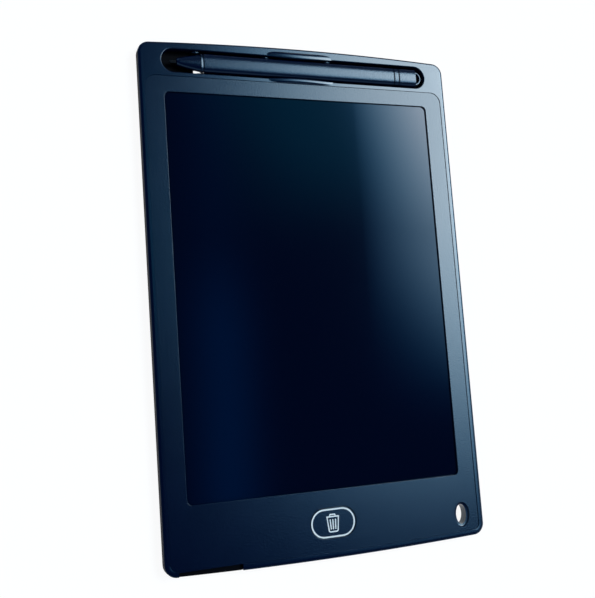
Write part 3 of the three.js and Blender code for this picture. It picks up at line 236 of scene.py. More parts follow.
# Bin, round a middle of its own. Its body's top and bottom are given by their left, right and y.
BIN_SHIFT = -0.15
BIN_STROKE = 0.54
BIN_TOP = (-2.85, 2.95, 2.9)
BIN_BOTTOM = (-2.2, 2.4, -3.85)
BIN_CORNER = 0.95
BIN_LEAST_CORNER = 0.1
BIN_CORNER_STEPS = 6
# Each bar's x at its top and at its foot
BIN_BARS = ((-1.2, -0.95), (0.02, 0.08), (1.25, 1.12))
BIN_BAR_TOP = 1.3
BIN_BAR_FOOT = -2.4
BIN_BAR_RADIUS = 0.27
BIN_BAR_STEPS = 4
HANDLE_OUTER = ((1.5, 2.85), (1.4, 3.4), (1.1, 3.8), (-1.2, 3.8), (-1.5, 3.4), (-1.65, 2.85))
HANDLE_INNER = ((0.95, 2.85), (0.9, 3.1), (0.75, 3.25), (-0.85, 3.25), (-1.0, 3.1), (-1.1, 2.85))

# Film's lie, in metres: its slope to +X and +Y, and how it levels out
FILM_SLOPE = (0.093, 0.1)
# Upper right corner: where it starts in x, its gain, its power and its fade in y
FILM_CORNER = (0.025, 0.1)
FILM_CORNER_POWER = 1.5
FILM_CORNER_Y = (-0.045, 0.025)
# Along the top: where it starts in x and in y, and its gain
FILM_TOP = (-0.060, 0.030, 4.0)
FILM_GRAIN = (4000, 0.0000015)
FILM_COLOUR = (0.0, 0.0013, 0.011, 1)
FILM_ROUGHNESS = 0.1
FILM_SPECULAR = 0.68
FILM_TINT = (0.8, 0.83, 0.93)

# Liquid crystal's faint band: its middle's x and its width, and how it weakens over a stretch of y
BAND_COLOUR = (0.0, 0.0072, 0.033, 1)
BAND_PLACE = (-0.043, 0.014)
BAND_BELL = 2.718
BAND_FADE_Y = (-0.02, 0.03)
BAND_FADE = (-0.7, 0.9)
BAND_CLOUD = 14
BAND_CLOUD_RANGE = (0.8, 1.2)

# Metals, board and flex. A grain is a scale per metre and a depth in metres.
METAL_MOTTLE = (300, 0.08)
METAL_GRAIN = (6000, 0.0000015)
METAL_EDGES = 0.0001
BOARD_LINES = (300, 0.12)
COPPER_HEIGHT = 0.00001
TRACK_TURNS = 9000
TRACK_EDGE = (0.1, 0.3)
TRACK_HEIGHT = 0.000008

# Colours and tints
NAVY = (0.0001, 0.0024, 0.0165)
BLACK = (0.0012, 0.0015, 0.003)
CHARCOAL = (0.006, 0.007, 0.009)
EPOXY = (0.012, 0.012, 0.013)
CERAMIC = (0.3, 0.17, 0.09)
CRYSTAL = (0.002, 0.007, 0.012)
PRINT_WHITE = (0.9, 0.86, 0.82)
STEEL = (0.58, 0.58, 0.56)
BRASS = (0.78, 0.56, 0.24)
MASK_GREENS = ((0.006, 0.075, 0.02, 1), (0.02, 0.15, 0.045, 1))
AMBERS = ((0.42, 0.13, 0.008, 1), (0.62, 0.25, 0.03, 1))
TINT = (0.61, 0.78, 0.91)
SATIN_TINT = (0.62, 0.83, 1.0)
PLAIN = (1, 1, 1)
# Every surface's roughness varies between these shares of it
ROUGHNESS_RANGE = (0.93, 1.07)
CLOUD_DETAIL = 3
BEVEL_SAMPLES = 6

# Steps in a quarter turn, points along a crowned edge, and what keeps two points of a slot's ends apart
TURN = 10
EDGE = 40
HAIR = 0.005

# Angles in degrees from which an edge is shaded sharp
NODE_SHARP = 30
PIECE_SHARP = 32
LIP_SHARP = 50

# A face looks down where its normal's z is below this
LOOKS_DOWN = -0.5

# Looks of the front moulding's faces, in the order of its materials. The last is painted shade: the case
# plastic almost without reflection, on walls, steps and outer edges.
PANEL, RIM, SHADED_LOOK = range(3)


def arc(x, y, radius, start, steps=TURN):
    """A quarter turn of points, anticlockwise."""
    angles = [start + QUARTER * k / steps for k in range(steps + 1)]
    return [(x + radius * math.cos(a), y + radius * math.sin(a)) for a in angles]


def rounded(x, y, width, length, radius, margin=0.0):
    """A rectangle with round corners, anticlockwise from the lower right corner."""
    right, top = width / 2 - radius, length / 2 - radius
    radius += margin
    return (
        arc(x + right, y - top, radius, -QUARTER)
        + arc(x + right, y + top, radius, 0)
        + arc(x - right, y + top, radius, QUARTER)
        + arc(x - right, y - top, radius, 2 * QUARTER)
    )


def pill(x, y, width, length, margin=0.0):
    """A full-round ended slot. Its corners stay a hair apart, so that no two points meet."""
    return rounded(x, y, width, length, min(width, length) / 2 - HAIR, margin)


def oval(x, y, width, length, margin=0.0, steps=64):
    """An ellipse, anticlockwise from its right."""
    angles = [2 * math.pi * k / steps for k in range(steps)]
    half_width, half_length = width / 2 + margin, length / 2 + margin
    return [(x + half_width * math.cos(a), y + half_length * math.sin(a)) for a in angles]


def edge(from_x, to_x, height_at):
    """Points along a crowned edge, without its two ends."""
    places = [from_x + (to_x - from_x) * (k + 1) / EDGE for k in range(EDGE - 1)]
    return [(x, height_at(x)) for x in places]


def curved_outline(half_width, top_radius, bottom_radius, top_at, bottom_at):
    """Straight sides, round corners, and a top and bottom that follow functions of x."""
    top_x, bottom_x = half_width - top_radius, half_width - bottom_radius
    top, bottom = top_at(top_x) - top_radius, bottom_at(bottom_x) + bottom_radius
    return (
        arc(bottom_x, bottom, bottom_radius, -QUARTER)
        + arc(top_x, top, top_radius, 0)
        + edge(top_x, -top_x, top_at)
        + arc(-top_x, top, top_radius, QUARTER)
        + arc(-bottom_x, bottom, bottom_radius, 2 * QUARTER)
        + edge(-bottom_x, bottom_x, bottom_at)
    )


def top_edge(x, inset):
    return TOP_Y - TOP_CROWN * (x / (BODY_WIDTH / 2)) ** 2 - inset


def bottom_edge(x, inset):
    return BOTTOM_Y + BOTTOM_CROWN * (x / (BODY_WIDTH / 2)) ** 2 + inset


def case_outline(inset, top_share=1.0):
    """The case's outline moved in by inset, and by a share of it along the top."""
    half, radius = BODY_WIDTH / 2 - inset, CORNER - inset
    return curved_outline(
        half, radius, radius, lambda x: top_edge(x, top_share * inset), lambda x: bottom_edge(x, inset)
    )


def panel_outline(grow):
    """The recessed panel's outline moved out by grow."""
    half = BODY_WIDTH / 2 - RIM_WIDTH + grow
    return curved_outline(
        half, PANEL_CORNER + grow, CORNER - RIM_WIDTH + grow,
        lambda x: PANEL_TOP_Y + grow, lambda x: bottom_edge(x, RIM_WIDTH - grow),
    )


def rounding(radius, steps=4):
    """Steps of a round edge from its wall to its flat: (in from the wall, down from the flat)."""
    angles = [QUARTER * k / steps for k in range(steps + 1)]
    return [(radius * (1 - math.cos(a)), radius * (1 - math.sin(a))) for a in angles]


class Skin:
    """A mesh of rings joined by strips and closed by flat fills, in millimetres."""

    def __init__(self):
        self.points = []
        self.faces = []
        self.looks = []
        self.look = 0

    def add(self, face):
        self.faces.append(face)
        self.looks.append(self.look)

    def place(self, points):
        """Adds points and returns their numbers."""
        start = len(self.points)
        self.points += points
        return list(range(start, len(self.points)))

    def ring(self, outline, z):
        return self.place([(x, y, z) for x, y in outline])

    def wall(self, *rings):
        """Strips between rings that run anticlockwise round their way from the first to the last."""
        for low, high in zip(rings, rings[1:]):
            for k in range(len(low)):
                n = (k + 1) % len(low)
                self.add((low[k], low[n], high[n], high[k]))

    def fill(self, outer, *holes, up=True):
        """A flat face in a plane of constant height, with holes."""
        flat = [k for loop in (outer, *holes) for k in loop]
        lines = [[Vector((*self.points[k][:2], 0)) for k in loop] for loop in (outer, *holes)]
        for triangle in tessellate_polygon(lines):
            a, b, c = (flat[k] for k in triangle)
            (ax, ay, _), (bx, by, _), (cx, cy, _) = (self.points[k] for k in (a, b, c))
            turn = (bx - ax) * (cy - ay) - (by - ay) * (cx - ax)
            self.add((a, b, c) if (turn > 0) == up else (a, c, b))

    def cap(self, ring):
        """Closes a ring by one face, on the side from which it runs anticlockwise."""
        self.add(tuple(ring))

    def loft(self, rings):
        """A wall along rings, closed at both ends."""
        self.wall(*rings)
        self.cap(rings[0][::-1])
        self.cap(rings[-1])


def make_mesh(name, skin, *materials):
    """The skin as a mesh. Each face takes the material that its look counts to."""
    mesh = bpy.data.meshes.new(name)
    mesh.from_pydata([tuple(MM * v for v in point) for point in skin.points], [], skin.faces)
    for material in materials:
        mesh.materials.append(material)
    mesh.polygons.foreach_set("material_index", skin.looks)
    return mesh


def make_piece(name, mesh, material, body, replaced=(), sharp=PIECE_SHARP):
    """A smooth-shaded piece whose flat faces stay flat, riding on a body. A bare mesh gets the material."""
    if not mesh.materials:
        mesh.materials.append(material)
    piece = bpy.data.objects.new(name, mesh)
    bpy.context.scene.collection.objects.link(piece)
    mesh.shade_smooth()
    mesh.set_sharp_from_angle(angle=math.radians(sharp))
    weigh = piece.modifiers.new("weighted", "WEIGHTED_NORMAL")
    weigh.keep_sharp = True
    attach(piece, body)
    if replaced:
        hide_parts(*replaced)


def cut_box(mesh, low, high):
    """The mesh with a box in millimetres cut out of it."""
    piece = bpy.data.objects.new("cut", mesh)
    bpy.context.scene.collection.objects.link(piece)
    skin = Skin()
    (x0, y0, z0), (x1, y1, z1) = low, high
    corners = [(x0, y0), (x1, y0), (x1, y1), (x0, y1)]
    skin.loft([skin.ring(corners, z) for z in (z0, z1)])
    tool = bpy.data.objects.new("tool", make_mesh("tool", skin))
    bpy.context.scene.collection.objects.link(tool)
    cut = piece.modifiers.new("cut", "BOOLEAN")
    cut.operation = "DIFFERENCE"
    cut.solver = "EXACT"
    cut.object = tool
    bpy.context.view_layer.update()
    shown = piece.evaluated_get(bpy.context.evaluated_depsgraph_get())
    done = bpy.data.meshes.new_from_object(shown)
    bpy.data.objects.remove(piece)
    bpy.data.objects.remove(tool)
    return done


def hole_edge(skin, outline, z, radius):
    """Rings of a hole's round edge, from the flat down to its wall. outline takes a margin."""
    return [skin.ring(outline(margin), z - down) for margin, down in reversed(rounding(radius))]


def case_edge(skin):
    """The skirt's side and the rim's crown. Gives the skirt's foot and the crown's inner ring."""
    foot = skin.ring(case_outline(SKIRT_EDGE), SKIRT_Z)
    width, height = RIM_ROUND
    rim = [
        skin.ring(case_outline(width * inset, RIM_ROUND_TOP), RIM_Z - height * down)
        for inset, down in rounding(1, RIM_STEPS)
    ]
    # The skirt and the crown's outer steps take the unreflecting copy of the case plastic: painted shade.
    skin.look = SHADED_LOOK
    skin.wall(foot, skin.ring(case_outline(0), SKIRT_Z + SKIRT_EDGE), *rim[:RIM_SHADED_STEPS + 1])
    skin.look = RIM
    skin.wall(*rim[RIM_SHADED_STEPS:])
    return foot, rim[-1]


def panel_step(skin):
    """The step from the rim down to the panel."""
    step = hole_edge(skin, panel_outline, RIM_Z, STEP_ROUND)
    step += [skin.ring(panel_outline(-inset), PANEL_Z + up) for inset, up in rounding(STEP_FILLET)]
    # The step's wall takes the unreflecting copy of the case plastic: a painted shade line round the panel.
    skin.look = SHADED_LOOK
    skin.wall(*step)
    return step


def rim_and_trough(skin, rim, step):
    """The rim's flat and the trough's wall. Gives the wall's ring at the ceiling."""
    skin.look = RIM
    mouth = hole_edge(skin, lambda margin: pill(*TROUGH, margin), RIM_Z, TROUGH_ROUND)
    foot = skin.ring(pill(*TROUGH), TROUGH_LOW_Z)
    outer = [skin.ring(pill(*TROUGH, TROUGH_WALL), z) for z in (TROUGH_LOW_Z, CEILING_Z)]
    skin.wall(*mouth)
    skin.fill(rim, step, mouth[0])
    # The trough's walls take the unreflecting copy of the case plastic: painted shade.
    skin.look = SHADED_LOOK
    skin.wall(mouth[-1], foot, *outer)
    return outer[-1]


def panel_hole(skin, outline, radius):
    """A hole through the panel. Gives its rings, from the panel down to the ceiling."""
    rings = hole_edge(skin, outline, PANEL_Z, radius)
    rings.append(skin.ring(outline(0), CEILING_Z))
    skin.wall(*rings)
    return rings


def lanyard_hole(skin):
    """The dished mouth, the hole with its sleeve, and the collar. Gives the mouth's and the collar's ring."""
    dish = []
    for share, depth in LANYARD_DISH:
        size = [mouth + (hole - mouth) * share for mouth, hole in zip(LANYARD_MOUTH, LANYARD_HOLE)]
        dish.append(skin.ring(oval(*LANYARD, *size), PANEL_Z - depth))
    hole_low = skin.ring(oval(*LANYARD, *LANYARD_HOLE), LANYARD_LOW_Z)
    collar_outline = oval(*LANYARD, *LANYARD_MOUTH, LANYARD_COLLAR)
    collar = [skin.ring(collar_outline, z) for z in (LANYARD_LOW_Z, CEILING_Z)]
    skin.wall(*dish)
    skin.look = RIM
    sleeve = []
    for margin, heights in (
        (SLEEVE_INNER, (LANYARD_LOW_Z, SLEEVE_LOW_Z)),
        (SLEEVE_OUTER, (SLEEVE_LOW_Z, LANYARD_LOW_Z)),
    ):
        sleeve += [skin.ring(oval(*LANYARD, *LANYARD_HOLE, margin), z) for z in heights]
    skin.wall(dish[-1], hole_low, *sleeve, *collar)
    return dish[0], collar[-1]


def front_moulding(*looks):
    """Rim, recessed panel, window, trough wall, button hole, lanyard mouth and skirt."""
    skin = Skin()
    foot, rim = case_edge(skin)
    step = panel_step(skin)
    trough = rim_and_trough(skin, rim, step[0])
    skin.look = PANEL
    window = panel_hole(skin, lambda margin: rounded(*WINDOW, WINDOW_CORNER, margin), WINDOW_ROUND)
    button = panel_hole(skin, lambda margin: pill(*BUTTON, BUTTON_CLEARANCE + margin), BUTTON_HOLE_ROUND)
    mouth, collar = lanyard_hole(skin)
    skin.look = PANEL
    skin.fill(step[-1], window[0], button[0], mouth)
    ceiling = skin.ring(case_outline(SIDE_WALL), CEILING_Z)
    skin.wall(ceiling, skin.ring(case_outline(SIDE_WALL), SKIRT_Z), foot)
    skin.fill(ceiling, window[-1], button[-1], collar, trough, up=False)
    mesh = make_mesh("front_moulding", skin, *looks)
    left, right, top = NOTCH
    return cut_box(mesh, (left, BOTTOM_Y - NOTCH_PAST, 0), (right, top, RIM_Z + NOTCH_PAST))


def snap_lip(side):
    """A low crescent hump that leans over the stylus. side is 1 above it and -1 below it."""
    skin = Skin()
    rings = []
    for k in range(LIP_STEPS + 1):
        along = 2 * k / LIP_STEPS - 1
        swell = 1 - along * along
        share = LIP_END_SHARE + (1 - LIP_END_SHARE) * math.sqrt(1 - along ** LIP_END_POWER)
        inner = TROUGH[3] / 2 - LIP_BULGE * swell
        outer = TROUGH[3] / 2 + LIP_REACH[side] * share
        top = LIP_RISE * swell - LIP_SINK
        outline = [(inner, -LIP_DEPTH), (outer, -LIP_DEPTH), (outer, -LIP_SINK)]
        outline += [(inner + width * (outer - inner), rise * top) for width, rise in LIP_SECTIONS[side]]
        x = along * LIP_LENGTH / 2
        rings.append(skin.place([(x, TROUGH[1] + side * y, RIM_Z + z) for y, z in outline[::side]]))
    skin.loft(rings)
    return make_mesh("snap_lip", skin)


def snap_ribs():
    """Short crowned ribs on the trough's walls, which hold the stylus."""
    skin = Skin()
    for side, place in RIB_PLACES:
        y = TROUGH[1] + side * TROUGH[3] / 2
        rings = []
        for k in range(-RIB_STEPS, RIB_STEPS + 1):
            along = k / RIB_STEPS
            reach, height = (size - RIB_CROWN * along * along for size in (RIB_REACH, RIB_HEIGHT))
            x = place + along * RIB_LENGTH / 2
            outline = oval(y, RIB_Z, 2 * reach, 2 * height, steps=RIB_TURN)
            rings.append(skin.place([(x, *point) for point in outline]))
        skin.loft(rings)
    return make_mesh("snap_ribs", skin)


def button_cap():
    """Pill-shaped cap, hollow below, with a retaining flange and a boss over the switch."""
    skin = Skin()
    flange_width, flange_top = BUTTON_FLANGE
    wall, ceiling = BUTTON_HOLLOW
    hollow = [skin.ring(pill(*BUTTON, -wall), z) for z in (ceiling, BUTTON_LOW_Z)]
    flange = [skin.ring(pill(*BUTTON, flange_width), z) for z in (BUTTON_LOW_Z, flange_top)]
    round_edge = rounding(BUTTON_ROUND, BUTTON_ROUND_STEPS)
    top = [skin.ring(pill(*BUTTON, -inset), PANEL_Z - down) for inset, down in round_edge]
    skin.wall(*hollow, *flange, skin.ring(pill(*BUTTON), flange_top), *top)
    skin.fill(top[-1])
    boss_outline = oval(*BUTTON[:2], 2 * BUTTON_BOSS, 2 * BUTTON_BOSS)
    boss = [skin.ring(boss_outline, z) for z in (BUTTON_LOW_Z, ceiling)]
    skin.wall(*boss)
    skin.fill(boss[0], up=False)
    skin.fill(hollow[0], boss[1], up=False)
    return make_mesh("button_cap", skin)


def section(half_width, half_height, power=STYLUS_POWER, steps=64):
    """Points of the stylus section: an ellipse at a power of 2, and nearer a rectangle above."""
    points = []
    for k in range(steps):
        a = 2 * math.pi * k / steps
        c, s = math.cos(a), math.sin(a)
        reach = (abs(c) ** power + abs(s) ** power) ** (-1 / power)
        points.append((half_width * c * reach, half_height * s * reach))
    return points


def stylus_ring(skin, along, outline):
    """A ring square to the stylus, at a distance from the nib's end."""
    return skin.place([(STYLUS_START + along, STYLUS_Y + y, STYLUS_Z + z) for y, z in outline])


def stylus_loft(name, stations):
    """A piece through stations of (distance from the nib's end, half width, half height, section's power)."""
    skin = Skin()
    skin.loft([stylus_ring(skin, along, section(*shape)) for along, *shape in stations])
    return make_mesh(name, skin)


def shrunk(along, inset):
    return along, STYLUS_HALF[0] - inset, STYLUS_HALF[1] - inset


def rounded_run(start, end):
    """Stations of a full-size run with round edges at both ends."""
    rise = [(start + down, inset) for inset, down in reversed(rounding(PIECE_ROUND))]
    fall = [(end - down, inset) for inset, down in rounding(PIECE_ROUND)]
    return [shrunk(along, inset) for along, inset in sorted(rise) + sorted(fall)]


def groove_floor(face, way):
    """Two stations of a groove's floor, in order of distance. way is 1 beyond a face and -1 before it."""
    places = (face + way * GROOVE_SHIFT, face + way * (GROOVE - GROOVE_GAP))
    return [shrunk(along, GROOVE_DEPTH) for along in sorted(places)]


def nose_stations():
    """A round taper with a flange that falls towards the groove."""
    tip = [
        (NIB_END + along, NOSE_TIP[0] - inset, NOSE_TIP[1] - inset, NOSE_POWER)
        for along, inset in NOSE_TIP_EDGE
    ]
    start, shoulder = NIB_END + NOSE_TIP_LENGTH, NOSE_END - NOSE_FLANGE_LENGTH
    taper = []
    for k in range(NOSE_STEPS + 1):
        share = k / NOSE_STEPS
        swell = share ** NOSE_SWELL_POWER
        sizes = [thin + (full - thin) * swell for thin, full in zip(NOSE_TIP, NOSE_SHOULDER)]
        taper.append((start + (shoulder - start) * share, *sizes, NOSE_POWER))
    return tip + taper + [shrunk(shoulder + along, inset) for along, inset in NOSE_FLANGE]


def barrel_stations():
    start, end = BARREL
    return groove_floor(start, -1) + rounded_run(start, end) + groove_floor(end, 1)


def cap_stations():
    return groove_floor(CAP[0], -1) + rounded_run(*CAP)


def cap_loop():
    """The half-round string loop behind the cap, with round edges."""
    skin = Skin()
    middle = LOOP_RADIUS - LOOP_WALL / 2
    outline = [
        (side * (LOOP_WALL / 2 - inset), tall * (LOOP_THICKNESS / 2 - down))
        for side, tall, order in ((1, -1, 1), (1, 1, -1), (-1, 1, 1), (-1, -1, -1))
        for inset, down in rounding(LOOP_ROUND)[::-order]
    ]

    def ring(turn, sink=0.0):
        """The section at a turn round the loop, moved back into the cap by sink."""
        x = STYLUS_START + CAP[1] - sink
        return skin.place([
            (x + (middle + r) * math.cos(turn), STYLUS_Y + (middle + r) * math.sin(turn), STYLUS_Z + z)
            for r, z in outline
        ])

    rings = [ring(-QUARTER, LOOP_SINK)]
    rings += [ring(-QUARTER + 2 * QUARTER * k / LOOP_STEPS) for k in range(LOOP_STEPS + 1)]
    rings.append(ring(QUARTER, LOOP_SINK))
    skin.loft(rings[::-1])
    return make_mesh("cap_loop", skin)


def nib():
    """A round-tipped nib that thickens into the nose."""
    skin = Skin()
    turns = [QUARTER * k / NIB_ROUND_STEPS for k in range(NIB_ROUND_FIRST, NIB_ROUND_STEPS + 1)]
    tip = [(NIB_RADIUS * (1 - math.cos(a)), NIB_RADIUS * math.sin(a)) for a in turns]
    rings = []
    for along, radius in (NIB_TIP, *tip, *NIB_SHAFT):
        outline = oval(0, 0, 2 * radius, 2 * radius, steps=NIB_TURN)
        rings.append(stylus_ring(skin, along, outline))
    skin.loft(rings)
    return make_mesh("nib", skin)


def ribbon(skin, outer, inner):
    """A flat printed band between two outlines of equal point counts."""
    low, high = PRINT_Z
    outer_high, inner_high = skin.ring(outer, high), skin.ring(inner, high)
    outer_low, inner_low = skin.ring(outer, low), skin.ring(inner, low)
    skin.wall(outer_low, outer_high, inner_high, inner_low)


def bar(skin, points):
    """A flat printed patch."""
    low, high = (skin.ring(points, z) for z in PRINT_Z)
    skin.wall(low, high)
    skin.cap(high)


def button_outline_print():
    skin = Skin()
    ribbon(skin, pill(*PRINT_PLACE, *OUTLINE_SIZE), pill(*PRINT_PLACE, *OUTLINE_SIZE, -OUTLINE_WIDTH))
    return make_mesh("button_outline_print", skin)


def shifted(points):
    """The bin's points in their place on the button."""
    return [(PRINT_PLACE[0] + BIN_SHIFT + x, PRINT_PLACE[1] + y) for x, y in points]


def bin_outline(inset):
    """The bin's body: wide at its top, narrower and round-cornered at its bottom."""
    top_left, top_right, top = BIN_TOP[0] + inset, BIN_TOP[1] - inset, BIN_TOP[2] - inset
    low_left, low_right, bottom = BIN_BOTTOM[0] + inset, BIN_BOTTOM[1] - inset, BIN_BOTTOM[2] + inset
    radius = max(BIN_CORNER - inset, BIN_LEAST_CORNER)
    right = arc(low_right - radius, bottom + radius, radius, -QUARTER, BIN_CORNER_STEPS)
    left = arc(low_left + radius, bottom + radius, radius, 2 * QUARTER, BIN_CORNER_STEPS)
    return shifted(right + [(top_right, top), (top_left, top)] + left)


def bin_print():
    """A plain bin: tapered body with three bars, and a handle on its lid."""
    skin = Skin()
    ribbon(skin, bin_outline(0.0), bin_outline(BIN_STROKE))
    for top, foot in BIN_BARS:
        corners = (
            (foot, BIN_BAR_FOOT, 2 * QUARTER), (foot, BIN_BAR_FOOT, 3 * QUARTER),
            (top, BIN_BAR_TOP, 0), (top, BIN_BAR_TOP, QUARTER),
        )
        ends = []
        for x, y, start in corners:
            ends += arc(x, y, BIN_BAR_RADIUS, start, BIN_BAR_STEPS)
        bar(skin, shifted(ends))
    ribbon(skin, shifted(HANDLE_OUTER), shifted(HANDLE_INNER))
    return make_mesh("bin_print", skin)


class Nodes:
    """Short calls for building one node tree."""

    def __init__(self, tree):
        self.tree = tree
        tree.nodes.clear()

    def add(self, kind, **settings):
        node = self.tree.nodes.new(kind)
        for name, value in settings.items():
            setattr(node, name, value)
        return node

    def link(self, source, target):
        self.tree.links.new(source, target)

    def put(self, socket, value):
        """Links a socket, or sets a plain value."""
        if isinstance(value, bpy.types.NodeSocket):
            self.link(value, socket)
        else:
            socket.default_value = value

    def split(self, vector):
        """The x, y and z of a vector."""
        node = self.add("ShaderNodeSeparateXYZ")
        self.link(vector, node.inputs[0])
        return node.outputs

    def math(self, operation, *values, clamp=False):
        node = self.add("ShaderNodeMath", operation=operation, use_clamp=clamp)
        for socket, value in zip(node.inputs, values):
            self.put(socket, value)
        return node.outputs[0]

    def times(self, first, second):
        return self.math("MULTIPLY", first, second)

    def rest(self, value):
        """What a share leaves of 1."""
        return self.math("SUBTRACT", 1.0, value)

    def beyond(self, value, start):
        """How far a value is past a start, and 0 before it."""
        return self.math("MAXIMUM", self.math("SUBTRACT", value, start), 0.0)

    def smooth(self, value, low, high):
        """0 below low, 1 above high, and smooth between them."""
        node = self.add("ShaderNodeMapRange", interpolation_type="SMOOTHSTEP")
        self.put(node.inputs["Value"], value)
        node.inputs["From Min"].default_value = low
        node.inputs["From Max"].default_value = high
        return node.outputs["Result"]

    def mix(self, factor, first, second):
        node = self.add("ShaderNodeMix", data_type="RGBA")
        self.put(node.inputs[0], factor)
        self.put(node.inputs[6], first)
        self.put(node.inputs[7], second)
        return node.outputs[2]

    def shaders(self, share, first, second):
        """Two shaders mixed by the second one's share."""
        node = self.add("ShaderNodeMixShader")
        for socket, source in zip(node.inputs, (share, first.outputs[0], second.outputs[0])):
            self.link(source, socket)
        return node.outputs[0]


def key_light(n, slope_x, slope_y):
    """The key's share of the light, and its strength."""
    slanted_y = n.math("MULTIPLY_ADD", n.beyond(slope_x, KEY_SLANT[0]), -KEY_SLANT[1], slope_y)
    key = n.times(n.smooth(slope_x, *KEY_X), n.smooth(slanted_y, *KEY_Y))
    fade_x, fade_y = n.rest(n.smooth(slope_x, *KEY_X_END)), n.rest(n.smooth(slope_y, *KEY_Y_END))
    key = n.times(key, n.times(fade_x, fade_y))
    core = n.math("MULTIPLY_ADD", n.smooth(slope_x, *KEY_X_CORE), KEY_CORE_GAIN, 1.0)
    return key, n.times(KEY_STRENGTH, core)


def room_light(n, x, y, z):
    """The room's share of the light, with its gap."""
    gap = n.times(n.smooth(x, *ROOM_GAP_X), n.rest(n.smooth(x, *ROOM_GAP_X_END)))
    gap = n.times(gap, n.math("MULTIPLY_ADD", n.smooth(y, *ROOM_GAP_Y), *ROOM_GAP_DEPTH))
    return n.times(n.rest(n.smooth(z, *ROOM_HEIGHT)), n.rest(gap))


def fill_light(n, slope_x, slope_y):
    """The dim fill's share of the light."""
    fill = n.times(n.smooth(slope_x, *FILL_X), n.smooth(slope_y, *FILL_Y))
    return n.times(fill, n.rest(n.smooth(slope_y, *FILL_Y_END)))


def make_world():
    """A soft key light high on the right, a dim blue fill, and the room round about, lower down."""
    world = bpy.data.worlds.new("dome")
    world.use_nodes = True
    n = Nodes(world.node_tree)
    x, y, z = n.split(n.add("ShaderNodeTexCoord").outputs["Generated"])
    height = n.math("MAXIMUM", z, LEAST_HEIGHT)
    slope_x, slope_y = n.math("DIVIDE", x, height), n.math("DIVIDE", y, height)
    key, strength = key_light(n, slope_x, slope_y)
    room = room_light(n, x, y, z)
    fill = fill_light(n, slope_x, slope_y)
    colour = n.add("ShaderNodeCombineColor")
    tints = zip(colour.inputs, KEY_TINT_POWERS, AMBIENT_COLOUR, FILL_COLOUR, ROOM_COLOUR)
    for socket, power, ambient, share, room_share in tints:
        level = n.math("MULTIPLY_ADD", room, room_share, ambient)
        level = n.math("MULTIPLY_ADD", fill, share, level)
        n.link(n.math("MULTIPLY_ADD", strength, n.math("POWER", key, power), level), socket)
    light = n.add("ShaderNodeBackground")
    n.link(colour.outputs[0], light.inputs["Color"])
    white = n.add("ShaderNodeBackground")
    white.inputs["Color"].default_value = (1, 1, 1, 1)
    shown = n.shaders(n.add("ShaderNodeLightPath").outputs["Is Camera Ray"], light, white)
    n.link(shown, n.add("ShaderNodeOutputWorld").inputs[0])
    bpy.context.scene.world = world


def floor_paper():
    """A pale paper that glows to the camera and in reflections, and keeps a shadow."""
    material = bpy.data.materials.new("floor_paper")
    material.use_nodes = True
    n = Nodes(material.node_tree)
    paper = n.add("ShaderNodeBsdfDiffuse")
    paper.inputs["Color"].default_value = (FLOOR_GREY, FLOOR_GREY, FLOOR_GREY, 1)
    glow = n.add("ShaderNodeEmission")
    glow.inputs["Strength"].default_value = FLOOR_GLOW
    path = n.add("ShaderNodeLightPath")
    seen = n.math("ADD", path.outputs["Is Camera Ray"], path.outputs["Is Glossy Ray"])
    seen = n.math("ADD", seen, path.outputs["Is Transmission Ray"], clamp=True)
    shown = n.shaders(n.times(seen, FLOOR_GLOW_SHARE), paper, glow)
    n.link(shown, n.add("ShaderNodeOutputMaterial").inputs[0])
    return material


def make_floor():
    """A floor that shows as white and keeps the tablet's shadow."""
    mesh = bpy.data.meshes.new("floor")
    corners = [(x * FLOOR_HALF, y * FLOOR_HALF, FLOOR_Z) for x, y in ((-1, -1), (1, -1), (1, 1), (-1, 1))]
    mesh.from_pydata(corners, [], [(0, 1, 2, 3)])
    mesh.materials.append(floor_paper())
    floor = bpy.data.objects.new("floor", mesh)
    bpy.context.scene.collection.objects.link(floor)


def make_camera():
    data = bpy.data.cameras.new("camera")
    data.lens = CAMERA_LENS
    data.sensor_width = CAMERA_SENSOR
    data.clip_start, data.clip_end = CAMERA_CLIP
    camera = bpy.data.objects.new("camera", data)
    columns = (CAMERA_RIGHT, CAMERA_UP, CAMERA_BACK, CAMERA_PLACE)
    rows = [[column[row] for column in columns] for row in range(3)]
    camera.matrix_world = Matrix(rows + [[0, 0, 0, 1]])
    bpy.context.scene.collection.objects.link(camera)
    bpy.context.scene.camera = camera


